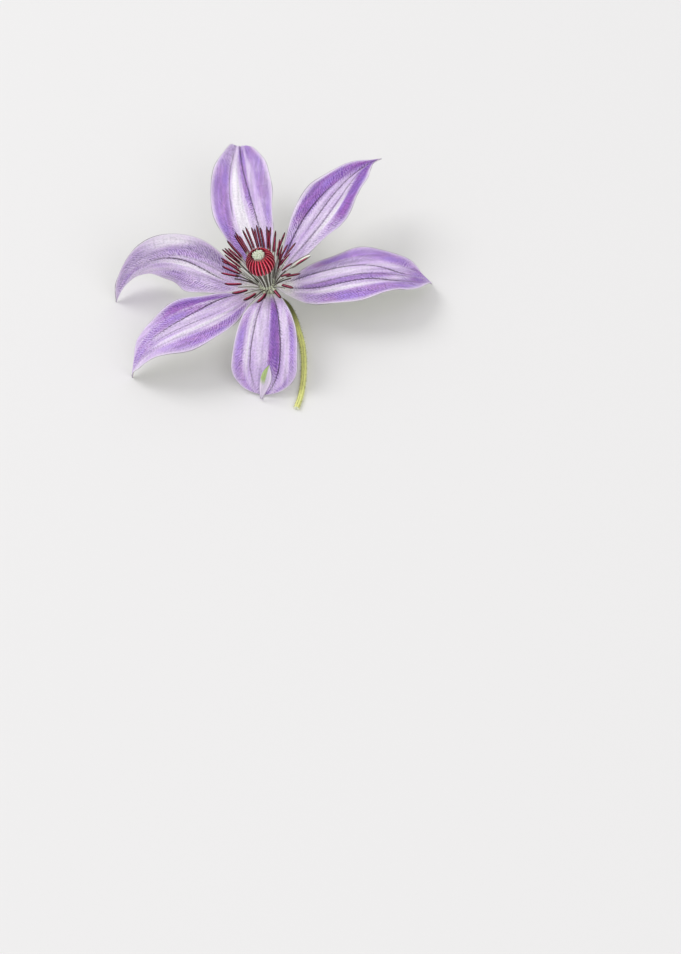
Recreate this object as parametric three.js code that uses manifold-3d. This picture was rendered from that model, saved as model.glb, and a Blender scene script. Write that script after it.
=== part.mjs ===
// Clematis flower, cut with its stalk and lying face up on a table.
// Millimetres and degrees, +Z up. The origin is on the table, under the middle of the outline.

import * as THREE from "three";
import { mergeVertices } from "three/addons/utils/BufferGeometryUtils.js";
import Module from "manifold-3d";

// The head: sepals, stamens and pistils share one axis, which leans to the left
const HEAD_AT = new THREE.Vector3(-2.3, -9.5, 16);
const HEAD_LEAN = 10;

// The receptacle, as [radius, height along the head's axis]
const RECEPTACLE = [
  [0, -5.4], [1.3, -5.4], [1.7, -4], [2.7, -2.3], [3.8, -1.1], [4.1, -0.5], [4.1, 0.5], [3.8, 1.2], [0, 1.2],
];
const RECEPTACLE_SIDES = 18;

// The stalk, from inside the receptacle to its cut end, seen from the foot of the head's axis
const STALK_ROUTE = [
  [0.6, 0, 12.6], [1.2, 0.1, 9.6], [3.6, 0.4, 7.1], [7.4, -0.6, 5.3], [10.8, -5.2, 3.1], [13.3, -13, 1.6],
  [15.2, -21.3, 0.84], [15.9, -35, 0.84], [14.8, -48, 0.84], [12.8, -55.7, 0.84],
];
const STALK_RADIUS = 1.2;
const STALK_TOP_RADIUS = 1.4;
const STALK_TOP_SHARE = 0.3;
const STALK_SIDES = 12;
const STALK_STATIONS = 44;

// Sepals. Outlines are half widths from claw to tip, as shares of the widest. A slender tip is widest past its
// middle, the more so the larger TIP_SWELL is
const POINTED = [0.13, 0.34, 0.65, 0.89, 1, 0.97, 0.8, 0.46, 0];
const OVAL = [0.13, 0.48, 0.77, 0.95, 1.01, 0.98, 0.85, 0.62, 0.4];
const BROAD = [0.13, 0.42, 0.76, 0.95, 1.01, 1.01, 1, 0.95, 0.9];
const TIP_SWELL = 1.5;
const CLAW_RADIUS = 4.6;
const TIP_HALF_WIDTH = 0.36;
const RIB_THICKNESS = 0.75;
const MARGIN_THICKNESS = 0.6;

// Three veins are sunk into the upper face and stand out below, with a pad on each side of each
const VEIN_SPACING = 0.42;
const VEIN_DEPTH = 0.3;
const VEINS_FADE = [0.5, 0.85];
const COLUMNS = [-1, -0.82, -0.63, -0.42, -0.21, 0, 0.21, 0.42, 0.63, 0.82, 1];
const ROWS = 20;
const CLOSER_ROWS = 22;
const CLOSER_FROM = 0.4;
const FULL_RELIEF_HALF_WIDTH = 6;

// Each margin is waved, and the left and right waves don't match
const WAVE_HEIGHT = 0.9;
const WAVES = 3.2;
const WAVE_OFFSET = 2;
const WAVE_POWER = 4;

// Each sepal's own growth, claw to tip. Pitch is above the table, heading is turned from the azimuth,
// roll lifts the left side, and cup is the turn of each half's arc from the midrib to the margin.
// `reach` above 1 moves the widest place outwards. A curl is a turn of the pitch over part of the length,
// and `aside` turns its heading. A blunt end is rounded off between two places and carries a slender tip.
const SEPALS = {
  sepal_1: {
    azimuth: 109, length: 80, width: 28, reach: 1, outline: OVAL, rests: false,
    pitch: [25, 10, 0, 5], heading: [0, 10, -40, -6], roll: [0, -15, -5, 5],
    cupLeft: [25, 15, 15, 25], cupRight: [40, 25, 10, 15],
    blunt: { from: 0.7, to: 0.94, tip: 0.08 }, curl: { turn: -140, aside: 0, from: 0.84, to: 1 },
  },
  sepal_2: {
    azimuth: 52, length: 78, width: 25, reach: 1.1, outline: POINTED, rests: false,
    pitch: [25, 15, 10, -5], heading: [0, 0, 20, -25], roll: [0, 10, -5, -35],
    cupLeft: [20, 20, 15, 20], cupRight: [25, 10, 20, 30],
  },
  sepal_3: {
    azimuth: 1, length: 78, width: 29, reach: 0.75, outline: POINTED, rests: true,
    pitch: [-20, 55, -30, -60], heading: [0, 20, -10, 40], roll: [0, -5, 0, 5],
    cupLeft: [-5, -5, 20, 15], cupRight: [-30, -5, 25, 20],
  },
  sepal_4: {
    azimuth: -83, length: 75.5, width: 28.5, reach: 1, outline: BROAD, rests: true,
    pitch: [50, -38, -73, -28], heading: [-4, -14, -16, -4], roll: [0],
    cupLeft: [10, -9, 8, 36], cupRight: [0, -10, 0, 21],
    blunt: { from: 0.53, to: 0.68, tip: 0.19 }, curl: { turn: 155, aside: -27, from: 0.665, to: 0.745 },
  },
  sepal_5: {
    azimuth: -143, length: 76, width: 26, reach: 1, outline: POINTED, rests: true,
    pitch: [10, 20, -5, -80], heading: [0, 20, -50, 15], roll: [0, -10, -15, 50],
    cupLeft: [15, -5, 0, 30], cupRight: [15, 0, 10, 20],
  },
  sepal_6: {
    azimuth: 178, length: 76, width: 25, reach: 0.9, outline: POINTED, rests: true,
    pitch: [0, 40, -25, -65], heading: [0, -50, 5, 55], roll: [0, -5, -110, -100],
    cupLeft: [25, -10, -55, -50], cupRight: [5, -5, -10, 0],
  },
};

// Outer stamens, in whorls from the lowest and widest to the steepest, on a collar round the axis.
// The two inner whorls leave the front open and stand in each other's gaps, shifted by a share of a step.
// Stamens are lifted and longer at the back, lower in front, and the front ones hook to the left
const COLLAR_SIDES = 24;
const OUTER_COLLAR = { inner: 3.3, outer: 4.3, bottom: 1.5, top: 3 };
const OUTER_WHORLS = [
  { count: 16, height: 1.9, rise: [49, 10], length: 18.5, spread: 360, shift: 0 },
  { count: 14, height: 2.3, rise: [59, 36], length: 21, spread: 240, shift: -0.25 },
  { count: 14, height: 2.7, rise: [69, 58], length: 22.5, spread: 240, shift: 0.25 },
];
const SPREAD_MIDDLE = 85;
const LIFTED_SIDE = 60;
const LIFT = 13;
const STRETCH = 3;
const FRONT_DROP = 10;
const STEEPEST = 71;
const SCATTER = { azimuth: 3, rise: 4, sway: 18, length: 2.2 };
const FRONT_CURL = -62;
const RIGHT_OF_CURLED = 0.2;
const OUTER_STATIONS = [0, 0.3, 0.56, 0.64, 0.8, 0.94, 1];
const FILAMENT_HALF = { width: 0.34, depth: 0.3 };
const OUTER_ANTHER = { from: 0.56, full: 0.64, halfWidth: 0.5, halfDepth: 0.42, blunts: 0.9, tip: 0.5 };

// One stamen has grown broad and flat like a small petal
const PETALOID = { azimuth: 14, rise: [42, 14], length: 20.5, halfWidth: 1.9, from: 0.45, to: 1.02 };

// Inner stamens: their anthers lean in to form a ribbed barrel. Profiles are read from base to tip
const INNER_COUNT = 24;
const INNER_COLLAR = { inner: 2, outer: 3, bottom: 1.5, top: 3 };
const BARREL_RADII = [2.5, 2.8, 3.3, 4.1, 5, 5.7, 5.7, 4.7, 3.1];
const BARREL_HEIGHTS = [2.2, 5, 7.8, 10.5, 13.1, 15.6, 18, 20.2, 21.7];
const BARREL_ANTHER = { from: 0.52, full: 0.6, halfDepth: 0.55, blunts: 0.85, tip: 0.65 };
const BARREL_FILL = 0.86;
const INNER_STATIONS = [0, 0.2, 0.38, 0.52, 0.56, 0.6, 0.7, 0.8, 0.9, 1];

// Pistils: a bundle of styles on a small dome, seen in the barrel's mouth and crowned like it
const STYLE_COUNT = 19;
const STYLE_FOOT = 2;
const STYLE_TOP = 21.9;
const STYLE_CROWN = 0.9;
const STYLE_HALF = 0.3;
const STYLE_TIP = 0.5;
const STYLE_FIRST = 0.3;
const STYLE_STATIONS = [0, 0.5, 0.92, 1];
const PISTIL_DOME = [[0, 1.5], [1.7, 1.5], [1.6, 2.6], [1, 3.4], [0, 3.8]];
const BUNDLE_RADIUS = { foot: 1.25, top: 2.25 };
const GOLDEN_ANGLE = 137.508;

// Steps and tolerances of the making
const GROWTH_SUBSTEPS = 4;
const LEAST_TURN = 1e-4;
const LEAST_ROW_GAP = 0.4;
const MERGE_DISTANCE = 1e-5;

// Plant tissue: satin sepals and anthers, and a stalk dulled by fine hairs
const SEPAL_FINISH = { color: "#a58bd3", roughness: 0.6 };
const STALK_FINISH = { color: "#9fa653", roughness: 0.7 };
const OUTER_ANTHER_FINISH = { color: "#6f2040", roughness: 0.6 };
const INNER_ANTHER_FINISH = { color: "#b01c3f", roughness: 0.55 };
const STYLE_FINISH = { color: "#c4dfb6", roughness: 0.6 };

const wasm = await Module();
wasm.setup();

const radians = THREE.MathUtils.degToRad;
const mix = THREE.MathUtils.lerp;
const ease = THREE.MathUtils.smoothstep;
const clamp = THREE.MathUtils.clamp;

// A steady spread from -1 to 1 that stands in for chance
function wobble(index, kind) {
  return Math.sin(index * 12.9898 + kind * 4.1414);
}

// A value that starts at the first number, ends at the last and is drawn towards those between
function bezier(values, s) {
  let row = values;
  while (row.length > 1) {
    row = row.slice(1).map((value, i) => mix(row[i], value, s));
  }
  return row[0];
}

// A smooth value that passes through every number, evenly spaced over s from 0 to 1
function through(values, s) {
  const place = s * (values.length - 1);
  const i = Math.min(Math.floor(place), values.length - 2);
  const f = place - i;
  const b = values[i];
  const c = values[i + 1];
  const a = i > 0 ? values[i - 1] : 2 * b - c;
  const d = i + 2 < values.length ? values[i + 2] : 2 * c - b;
  return b + 0.5 * f * (c - a + f * (2 * a - 5 * b + 4 * c - d + f * (3 * (b - c) + d - a)));
}

function direction(pitch, heading) {
  const across = Math.cos(radians(pitch));
  return new THREE.Vector3(
    across * Math.cos(radians(heading)), across * Math.sin(radians(heading)), Math.sin(radians(pitch)));
}

// Frames along a line that grows from `start` and turns as it goes, one frame for each station
function growth({ start, length, pitch, heading, roll = [0], curl }, stations) {
  const curled = (s) => (curl ? ease(s, curl.from, curl.to) : 0);
  const pitchAt = (s) => bezier(pitch, s) + (curl ? curl.turn * curled(s) : 0);
  const headingAt = (s) => bezier(heading, s) + (curl ? curl.aside * curled(s) : 0);
  const point = start.clone();
  return stations.map((s, i) => {
    const before = i > 0 ? stations[i - 1] : s;
    const step = (length * (s - before)) / GROWTH_SUBSTEPS;
    for (let k = 0; k < GROWTH_SUBSTEPS; k += 1) {
      const middle = mix(before, s, (k + 0.5) / GROWTH_SUBSTEPS);
      point.addScaledVector(direction(pitchAt(middle), headingAt(middle)), step);
    }
    const tangent = direction(pitchAt(s), headingAt(s));
    const level = direction(0, headingAt(s) + 90);
    const side = level.clone().applyAxisAngle(tangent, radians(bezier(roll, s)));
    const normal = tangent.clone().cross(side);
    return { s, point: point.clone(), side, normal };
  });
}

function meshed(points, triangles) {
  const geometry = new THREE.BufferGeometry();
  geometry.setAttribute("position", new THREE.Float32BufferAttribute(points.flatMap((p) => p.toArray()), 3));
  geometry.setIndex(triangles.flat());
  return geometry;
}

// A closed limb through rings of points, each ring turning left as seen from the far end
function limb(rings) {
  const sides = rings[0].length;
  const triangles = [];
  for (let i = 0; i + 1 < rings.length; i += 1) {
    for (let k = 0; k < sides; k += 1) {
      const a = i * sides + k;
      const b = i * sides + ((k + 1) % sides);
      triangles.push([a, b, b + sides], [a, b + sides, a + sides]);
    }
  }
  const last = (rings.length - 1) * sides;
  for (let k = 1; k + 1 < sides; k += 1) {
    triangles.push([0, k + 1, k], [last, last + k, last + k + 1]);
  }
  return meshed(rings.flat(), triangles);
}

// A four-cornered limb along grown frames, its half width and half depth given at each station
function slimLimb(frames, halfSize) {
  const corners = [[1, 0], [0, 1], [-1, 0], [0, -1]];
  return limb(frames.map(({ s, point, side, normal }) => {
    const { width, depth } = halfSize(s);
    return corners.map(([across, out]) =>
      point.clone().addScaledVector(side, across * width).addScaledVector(normal, out * depth));
  }));
}

function lathed(profile, sides) {
  const outline = profile.map(([radius, height]) => new THREE.Vector2(radius, height));
  return new THREE.LatheGeometry(outline, sides).rotateX(Math.PI / 2);
}

function collar({ inner, outer, bottom, top }, sides) {
  return lathed([[inner, bottom], [outer, bottom], [outer, top], [inner, top], [inner, bottom]], sides);
}

function solid(geometry) {
  const bare = new THREE.BufferGeometry();
  bare.setAttribute("position", geometry.getAttribute("position"));
  bare.setIndex(geometry.getIndex());
  const merged = mergeVertices(bare, MERGE_DISTANCE);
  const vertProperties = new Float32Array(merged.getAttribute("position").array);
  const corners = merged.getIndex().array;
  const triVerts = [];
  for (let i = 0; i < corners.length; i += 3) {
    const [a, b, c] = corners.slice(i, i + 3);
    if (a !== b && b !== c && c !== a) triVerts.push(a, b, c);
  }
  const mesh = new wasm.Mesh({ numProp: 3, vertProperties, triVerts: new Uint32Array(triVerts) });
  return new wasm.Manifold(mesh);
}

function fused(geometries) {
  const mesh = wasm.Manifold.union(geometries.map(solid)).getMesh();
  const geometry = new THREE.BufferGeometry();
  geometry.setAttribute("position", new THREE.BufferAttribute(mesh.vertProperties, 3));
  geometry.setIndex(new THREE.BufferAttribute(mesh.triVerts, 1));
  return geometry;
}

// Height of the sepal's middle surface over its plain arc: sunk veins, pads and a waved margin
function relief(s, t, halfWidth, phase) {
  const size = Math.min(1, halfWidth / FULL_RELIEF_HALF_WIDTH);
  const fade = 1 - ease(Math.abs(t), ...VEINS_FADE);
  const veins = -VEIN_DEPTH * Math.cos((2 * Math.PI * t) / VEIN_SPACING) * fade;
  const swing = Math.sin(2 * Math.PI * WAVES * s + phase + (t > 0 ? WAVE_OFFSET : 0));
  return size * (veins + WAVE_HEIGHT * swing * t ** WAVE_POWER);
}

// Half width at a place along the sepal, as a share of the widest
function widthShare({ outline, reach, blunt }, s) {
  const plain = through(outline, s ** reach);
  if (!blunt) return plain;
  const rounded = clamp((s - blunt.from) / (blunt.to - blunt.from), 0, 1);
  const past = clamp((s - blunt.to) / (1 - blunt.to), 0, 1);
  const tip = blunt.tip * Math.sin(Math.PI * past ** TIP_SWELL);
  return Math.max(plain * Math.sqrt(1 - rounded ** 2), tip);
}

// Stations from claw to tip, closer together where the sepal is rounded off and curls over
function sepalStations({ blunt, curl }) {
  const even = Array.from({ length: ROWS + 1 }, (_, i) => i / ROWS);
  if (!blunt) return even;
  const from = mix(blunt.from, blunt.to, CLOSER_FROM);
  const closer = Array.from({ length: CLOSER_ROWS + 1 }, (_, i) => mix(from, curl.to, i / CLOSER_ROWS));
  const apart = LEAST_ROW_GAP / ROWS;
  const outside = even.filter((s) => s < from - apart || s > curl.to + apart);
  return [...outside, ...closer].sort((a, b) => a - b);
}

// One sepal, growing from its claw along +X. Both faces are split along the same diagonals
function sepalBlade(sepal, phase, clawHeight) {
  const stations = sepalStations(sepal);
  const frames = growth({ ...sepal, start: new THREE.Vector3() }, stations);
  const upper = [];
  const lower = [];
  const along = [];
  for (const { s, point, side, normal } of frames) {
    const halfWidth = Math.max(TIP_HALF_WIDTH, (widthShare(sepal, s) * sepal.width) / 2);
    for (const t of COLUMNS) {
      const turn = radians(bezier(t > 0 ? sepal.cupLeft : sepal.cupRight, s)) || LEAST_TURN;
      const out = normal.clone()
        .multiplyScalar(Math.cos(turn * t))
        .addScaledVector(side, -Math.sin(turn * t));
      const middle = point.clone()
        .addScaledVector(side, (halfWidth * Math.sin(turn * t)) / turn)
        .addScaledVector(normal, (halfWidth * (1 - Math.cos(turn * t))) / turn)
        .addScaledVector(out, relief(s, t, halfWidth, phase));
      const half = mix(RIB_THICKNESS, MARGIN_THICKNESS, Math.abs(t)) / 2;
      upper.push(middle.clone().addScaledVector(out, half));
      lower.push(middle.clone().addScaledVector(out, -half));
      along.push(s);
    }
  }
  const points = [...upper, ...lower];
  if (sepal.rests) settle(points, [...along, ...along], -clawHeight);
  const wide = COLUMNS.length;
  const under = upper.length;
  const triangles = [];
  const quad = (a, b, c, d) => triangles.push([a, b, c], [a, c, d]);
  for (let i = 0; i + 1 < stations.length; i += 1) {
    for (let j = 0; j + 1 < wide; j += 1) {
      const a = i * wide + j;
      const b = a + wide;
      triangles.push([a, b, b + 1], [a, b + 1, a + 1]);
      triangles.push([a + under, b + 1 + under, b + under], [a + under, a + 1 + under, b + 1 + under]);
    }
    const right = i * wide;
    const left = right + wide - 1;
    quad(right, right + under, right + wide + under, right + wide);
    quad(left, left + wide, left + wide + under, left + under);
  }
  const last = (stations.length - 1) * wide;
  for (let j = 0; j + 1 < wide; j += 1) {
    quad(j, j + 1, j + 1 + under, j + under);
    quad(last + j, last + j + under, last + j + 1 + under, last + j + 1);
  }
  return meshed(points, triangles);
}

// Bends a sepal up or down, more towards its tip, until its lowest point just meets the table
function settle(points, along, table) {
  const heights = points.map((p) => p.z);
  const lowest = heights.indexOf(Math.min(...heights));
  const lift = table - heights[lowest];
  points.forEach((p, i) => {
    p.z += lift * (along[i] / along[lowest]) ** 2;
  });
}

function placed(name, geometry, finish) {
  geometry.computeVertexNormals();
  const mesh = new THREE.Mesh(geometry, new THREE.MeshStandardMaterial({ ...finish, metalness: 0 }));
  mesh.name = name;
  return mesh;
}

function sepalMesh(name, sepal, index) {
  const leanAxis = new THREE.Vector3(0, 1, 0);
  const claw = direction(0, sepal.azimuth).multiplyScalar(CLAW_RADIUS);
  claw.applyAxisAngle(leanAxis, radians(-HEAD_LEAN));
  const mesh = placed(name, sepalBlade(sepal, index, HEAD_AT.z + claw.z), SEPAL_FINISH);
  mesh.position.copy(claw).setZ(claw.z + HEAD_AT.z);
  mesh.rotation.z = radians(sepal.azimuth);
  return mesh;
}

// The lying part of the stalk is pressed flat where it meets the table
function stalkGeometry() {
  const curve = new THREE.CatmullRomCurve3(STALK_ROUTE.map((p) => new THREE.Vector3(...p)));
  const up = new THREE.Vector3(0, 0, 1);
  const rings = Array.from({ length: STALK_STATIONS + 1 }, (_, i) => {
    const s = i / STALK_STATIONS;
    const centre = curve.getPointAt(s);
    const tangent = curve.getTangentAt(s);
    const side = up.clone().cross(tangent).normalize();
    const top = tangent.clone().cross(side);
    const radius = mix(STALK_TOP_RADIUS, STALK_RADIUS, ease(s, 0, STALK_TOP_SHARE));
    return Array.from({ length: STALK_SIDES }, (__, k) => {
      const turn = (2 * Math.PI * (k + 0.5)) / STALK_SIDES;
      const point = centre.clone()
        .addScaledVector(side, radius * Math.cos(turn))
        .addScaledVector(top, radius * Math.sin(turn));
      point.z = Math.max(0, point.z);
      return point;
    });
  });
  return limb(rings);
}

function peduncleMesh() {
  const receptacle = lathed(RECEPTACLE, RECEPTACLE_SIDES);
  receptacle.rotateY(radians(-HEAD_LEAN)).translate(0, 0, HEAD_AT.z);
  return placed("peduncle", fused([receptacle, stalkGeometry()]), STALK_FINISH);
}

// A stamen: a slim filament that widens into its anther
function stamen({ azimuth, rise, sway, length, height, radius }, halfSize) {
  const start = direction(0, azimuth).multiplyScalar(radius).setZ(height);
  const heading = [azimuth, azimuth, azimuth, azimuth + sway];
  const frames = growth({ start, length, pitch: rise, heading }, OUTER_STATIONS);
  return slimLimb(frames, halfSize);
}

// Half sizes of a limb that widens from a filament into an anther and ends bluntly
function antherHalfSize(s, anther, halfWidth) {
  const grown = ease(s, anther.from, anther.full);
  const blunt = mix(1, anther.tip, ease(s, anther.blunts, 1));
  return {
    width: mix(FILAMENT_HALF.width, halfWidth * blunt, grown),
    depth: mix(FILAMENT_HALF.depth, anther.halfDepth * blunt, grown),
  };
}

function petaloidHalfSize(s) {
  const broad = Math.sin(Math.PI * ease(s, PETALOID.from, PETALOID.to));
  return { width: mix(FILAMENT_HALF.width, PETALOID.halfWidth, broad), depth: FILAMENT_HALF.depth };
}

function outerStamens() {
  const radius = (OUTER_COLLAR.inner + OUTER_COLLAR.outer) / 2;
  const pieces = [collar(OUTER_COLLAR, COLLAR_SIDES)];
  OUTER_WHORLS.forEach(({ count, height, rise, length, spread, shift }, whorl) => {
    for (let k = 0; k < count; k += 1) {
      const index = whorl * count + k;
      const place = SPREAD_MIDDLE + spread * ((k + 0.5 + shift) / count - 0.5);
      const azimuth = place + SCATTER.azimuth * wobble(index, 1);
      if (whorl === 0 && Math.abs(azimuth - PETALOID.azimuth) < spread / count / 2) continue;
      const back = Math.max(0, Math.cos(radians(azimuth - LIFTED_SIDE)));
      const front = Math.max(0, -Math.sin(radians(azimuth)));
      const curl = Math.cos(radians(azimuth)) < RIGHT_OF_CURLED ? FRONT_CURL * front : 0;
      const lift = LIFT * back - FRONT_DROP * front + SCATTER.rise * wobble(index, 2);
      pieces.push(stamen({
        azimuth,
        rise: rise.map((angle) => Math.min(STEEPEST, angle + lift)),
        sway: SCATTER.sway * wobble(index, 3) + curl,
        length: length + STRETCH * back + SCATTER.length * wobble(index, 4),
        height,
        radius,
      }, (s) => antherHalfSize(s, OUTER_ANTHER, OUTER_ANTHER.halfWidth)));
    }
  });
  pieces.push(stamen({ ...PETALOID, sway: 0, height: OUTER_WHORLS[0].height, radius }, petaloidHalfSize));
  return placed("outer_stamens", fused(pieces), OUTER_ANTHER_FINISH);
}

// One stamen of the barrel: its anther is as wide as the room that the barrel's girth leaves it
function barrelStamen(azimuth) {
  const outwards = direction(0, azimuth);
  const side = direction(0, azimuth + 90);
  const points = INNER_STATIONS.map((s) =>
    outwards.clone().multiplyScalar(through(BARREL_RADII, s)).setZ(through(BARREL_HEIGHTS, s)));
  const frames = INNER_STATIONS.map((s, i) => {
    const before = points[Math.max(0, i - 1)];
    const after = points[Math.min(points.length - 1, i + 1)];
    const normal = after.clone().sub(before).normalize().cross(side);
    return { s, point: points[i], side, normal };
  });
  return slimLimb(frames, (s) => {
    const room = (Math.PI * through(BARREL_RADII, s) * BARREL_FILL) / INNER_COUNT;
    return antherHalfSize(s, BARREL_ANTHER, room);
  });
}

function innerStamens() {
  const pieces = [collar(INNER_COLLAR, COLLAR_SIDES)];
  for (let k = 0; k < INNER_COUNT; k += 1) {
    pieces.push(barrelStamen((360 * k) / INNER_COUNT));
  }
  return placed("inner_stamens", fused(pieces), INNER_ANTHER_FINISH);
}

function pistils() {
  const pieces = [lathed(PISTIL_DOME, STALK_SIDES)];
  for (let k = 0; k < STYLE_COUNT; k += 1) {
    const share = Math.sqrt((k + STYLE_FIRST) / STYLE_COUNT);
    const outwards = direction(0, k * GOLDEN_ANGLE);
    const side = direction(0, k * GOLDEN_ANGLE + 90);
    const top = STYLE_TOP - STYLE_CROWN * share ** 2;
    const frames = STYLE_STATIONS.map((s) => ({
      s,
      side,
      normal: outwards.clone().negate(),
      point: outwards.clone().multiplyScalar(share * mix(BUNDLE_RADIUS.foot, BUNDLE_RADIUS.top, s))
        .setZ(mix(STYLE_FOOT, top, s)),
    }));
    pieces.push(slimLimb(frames, (s) => {
      const half = STYLE_HALF * (s < 1 ? 1 : STYLE_TIP);
      return { width: half, depth: half };
    }));
  }
  return placed("pistils", fused(pieces), STYLE_FINISH);
}

const flower = new THREE.Group();
flower.position.set(HEAD_AT.x, HEAD_AT.y, 0);
flower.add(peduncleMesh());
Object.entries(SEPALS).forEach(([name, sepal], index) => flower.add(sepalMesh(name, sepal, index)));

const head = new THREE.Group();
head.position.z = HEAD_AT.z;
head.rotation.y = radians(-HEAD_LEAN);
head.add(outerStamens(), innerStamens(), pistils());
flower.add(head);

export default flower;
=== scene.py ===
"""A cut clematis flower that lies face up: six veined sepals, three whorls of maroon stamens round a
crimson barrel, pale pistils, and a downy stalk. Metres, +Z up, in the frame of the solids."""

import math

import bpy
import numpy as np
from mathutils import Matrix, Vector


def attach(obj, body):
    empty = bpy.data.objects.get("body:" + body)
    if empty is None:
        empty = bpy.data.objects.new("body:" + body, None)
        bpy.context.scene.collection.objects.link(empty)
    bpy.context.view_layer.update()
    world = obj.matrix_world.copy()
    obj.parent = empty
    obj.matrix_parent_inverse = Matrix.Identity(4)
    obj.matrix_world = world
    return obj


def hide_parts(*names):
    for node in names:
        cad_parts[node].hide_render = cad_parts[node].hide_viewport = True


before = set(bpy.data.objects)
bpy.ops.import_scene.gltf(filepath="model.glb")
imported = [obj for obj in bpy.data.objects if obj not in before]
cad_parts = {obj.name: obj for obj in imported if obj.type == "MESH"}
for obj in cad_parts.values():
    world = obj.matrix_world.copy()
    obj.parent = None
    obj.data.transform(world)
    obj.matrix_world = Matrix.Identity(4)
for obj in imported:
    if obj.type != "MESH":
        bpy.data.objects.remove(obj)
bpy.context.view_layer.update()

MM = 0.001

# The head: sepals, stamens and pistils share one axis, which leans to the left
HEAD_AT = np.array([-2.3, -9.5, 16]) * MM
HEAD_LEAN = math.radians(10)
LEANED = np.array(Matrix.Rotation(-HEAD_LEAN, 3, "Y"))

# The stalk, from inside the receptacle to its cut end. Its X and Y are counted from the head's
STALK_ROUTE = np.array([
    [0.6, 0, 12.6], [1.2, 0.1, 9.6], [3.6, 0.4, 7.1], [7.4, -0.6, 5.3], [10.8, -5.2, 3.1],
    [13.3, -13, 1.6], [15.2, -21.3, 0.84], [15.9, -35, 0.84], [14.8, -48, 0.84], [12.8, -55.7, 0.84],
]) * MM
STALK_RADIUS = 1.2 * MM
STALK_TOP_RADIUS = 1.4 * MM
STALK_TOP_SHARE = 0.3
STALK_STATIONS = 260
ROUTE_STEPS = 60
STALK_SIDES = 36
STALK_RIBS = 6
STALK_RIB_HEIGHT = 0.045
STALK_MOTTLE_SIZE = 3 * MM
RECEPTACLE_RAYS = 16
RECEPTACLE_RADIUS = 4.1 * MM
RECEPTACLE_TOP = 3.4 * MM
RECEPTACLE_RIM = -0.3 * MM
RECEPTACLE_FOOT = -5 * MM
BARE_TO = -1 * MM
AXIS_FOOT = -3.4 * MM
AXIS_STATIONS = 60
DOME_FLOOR = 0.004

# Sepals: half widths from claw to tip as shares of the widest, then each sepal's own growth. A blunt end is
# (start, stop, width of the slender tip); a curl is (turn of the pitch, of the heading, start, stop)
POINTED = [0.13, 0.34, 0.65, 0.89, 1, 0.97, 0.8, 0.46, 0]
OVAL = [0.13, 0.48, 0.77, 0.95, 1.01, 0.98, 0.85, 0.62, 0.4]
BROAD = [0.13, 0.42, 0.76, 0.95, 1.01, 1.01, 1, 0.95, 0.9]
TIP_SWELL = 1.5
CLAW_RADIUS = 4.6 * MM
CLAW_ROOT = 0.016
TIP_HALF_WIDTH = 0.15 * MM
CAD_RIB = 0.75 * MM
CAD_MARGIN = 0.6 * MM
VEIN_SPACING = 0.42
VEIN_DEPTH = 0.3 * MM
VEINS_FADE = (0.5, 0.85)
FULL_RELIEF_HALF_WIDTH = 6 * MM
WAVE_HEIGHT = 0.9 * MM
WAVES = 3.2
WAVE_OFFSET = 2
WAVE_POWER = 4
BLADE_ROWS = 180
CLOSER_ROWS = 70
CLOSER_BEFORE = 0.05
BLADE_COLUMNS = 97
FLATTEST_CUP = 1e-4
SEPALS = {
    "sepal_1": dict(
        azimuth=109, length=80, width=28, reach=1, outline=OVAL, rests=False,
        pitch=[25, 10, 0, 5], heading=[0, 10, -40, -6], roll=[0, -15, -5, 5],
        cup_left=[25, 15, 15, 25], cup_right=[40, 25, 10, 15],
        blunt=(0.7, 0.94, 0.08), curl=(-140, 0, 0.84, 1)),
    "sepal_2": dict(
        azimuth=52, length=78, width=25, reach=1.1, outline=POINTED, rests=False,
        pitch=[25, 15, 10, -5], heading=[0, 0, 20, -25], roll=[0, 10, -5, -35],
        cup_left=[20, 20, 15, 20], cup_right=[25, 10, 20, 30]),
    "sepal_3": dict(
        azimuth=1, length=78, width=29, reach=0.75, outline=POINTED, rests=True,
        pitch=[-20, 55, -30, -60], heading=[0, 20, -10, 40], roll=[0, -5, 0, 5],
        cup_left=[-5, -5, 20, 15], cup_right=[-30, -5, 25, 20]),
    "sepal_4": dict(
        azimuth=-83, length=75.5, width=28.5, reach=1, outline=BROAD, rests=True,
        pitch=[50, -38, -73, -28], heading=[-4, -14, -16, -4], roll=[0],
        cup_left=[10, -9, 8, 36], cup_right=[0, -10, 0, 21],
        blunt=(0.53, 0.68, 0.19), curl=(155, -27, 0.665, 0.745)),
    "sepal_5": dict(
        azimuth=-143, length=76, width=26, reach=1, outline=POINTED, rests=True,
        pitch=[10, 20, -5, -80], heading=[0, 20, -50, 15], roll=[0, -10, -15, 50],
        cup_left=[15, -5, 0, 30], cup_right=[15, 0, 10, 20]),
    "sepal_6": dict(
        azimuth=178, length=76, width=25, reach=0.9, outline=POINTED, rests=True,
        pitch=[0, 40, -25, -65], heading=[0, -50, 5, 55], roll=[0, -5, -110, -100],
        cup_left=[25, -10, -55, -50], cup_right=[5, -5, -10, 0]),
}

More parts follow.
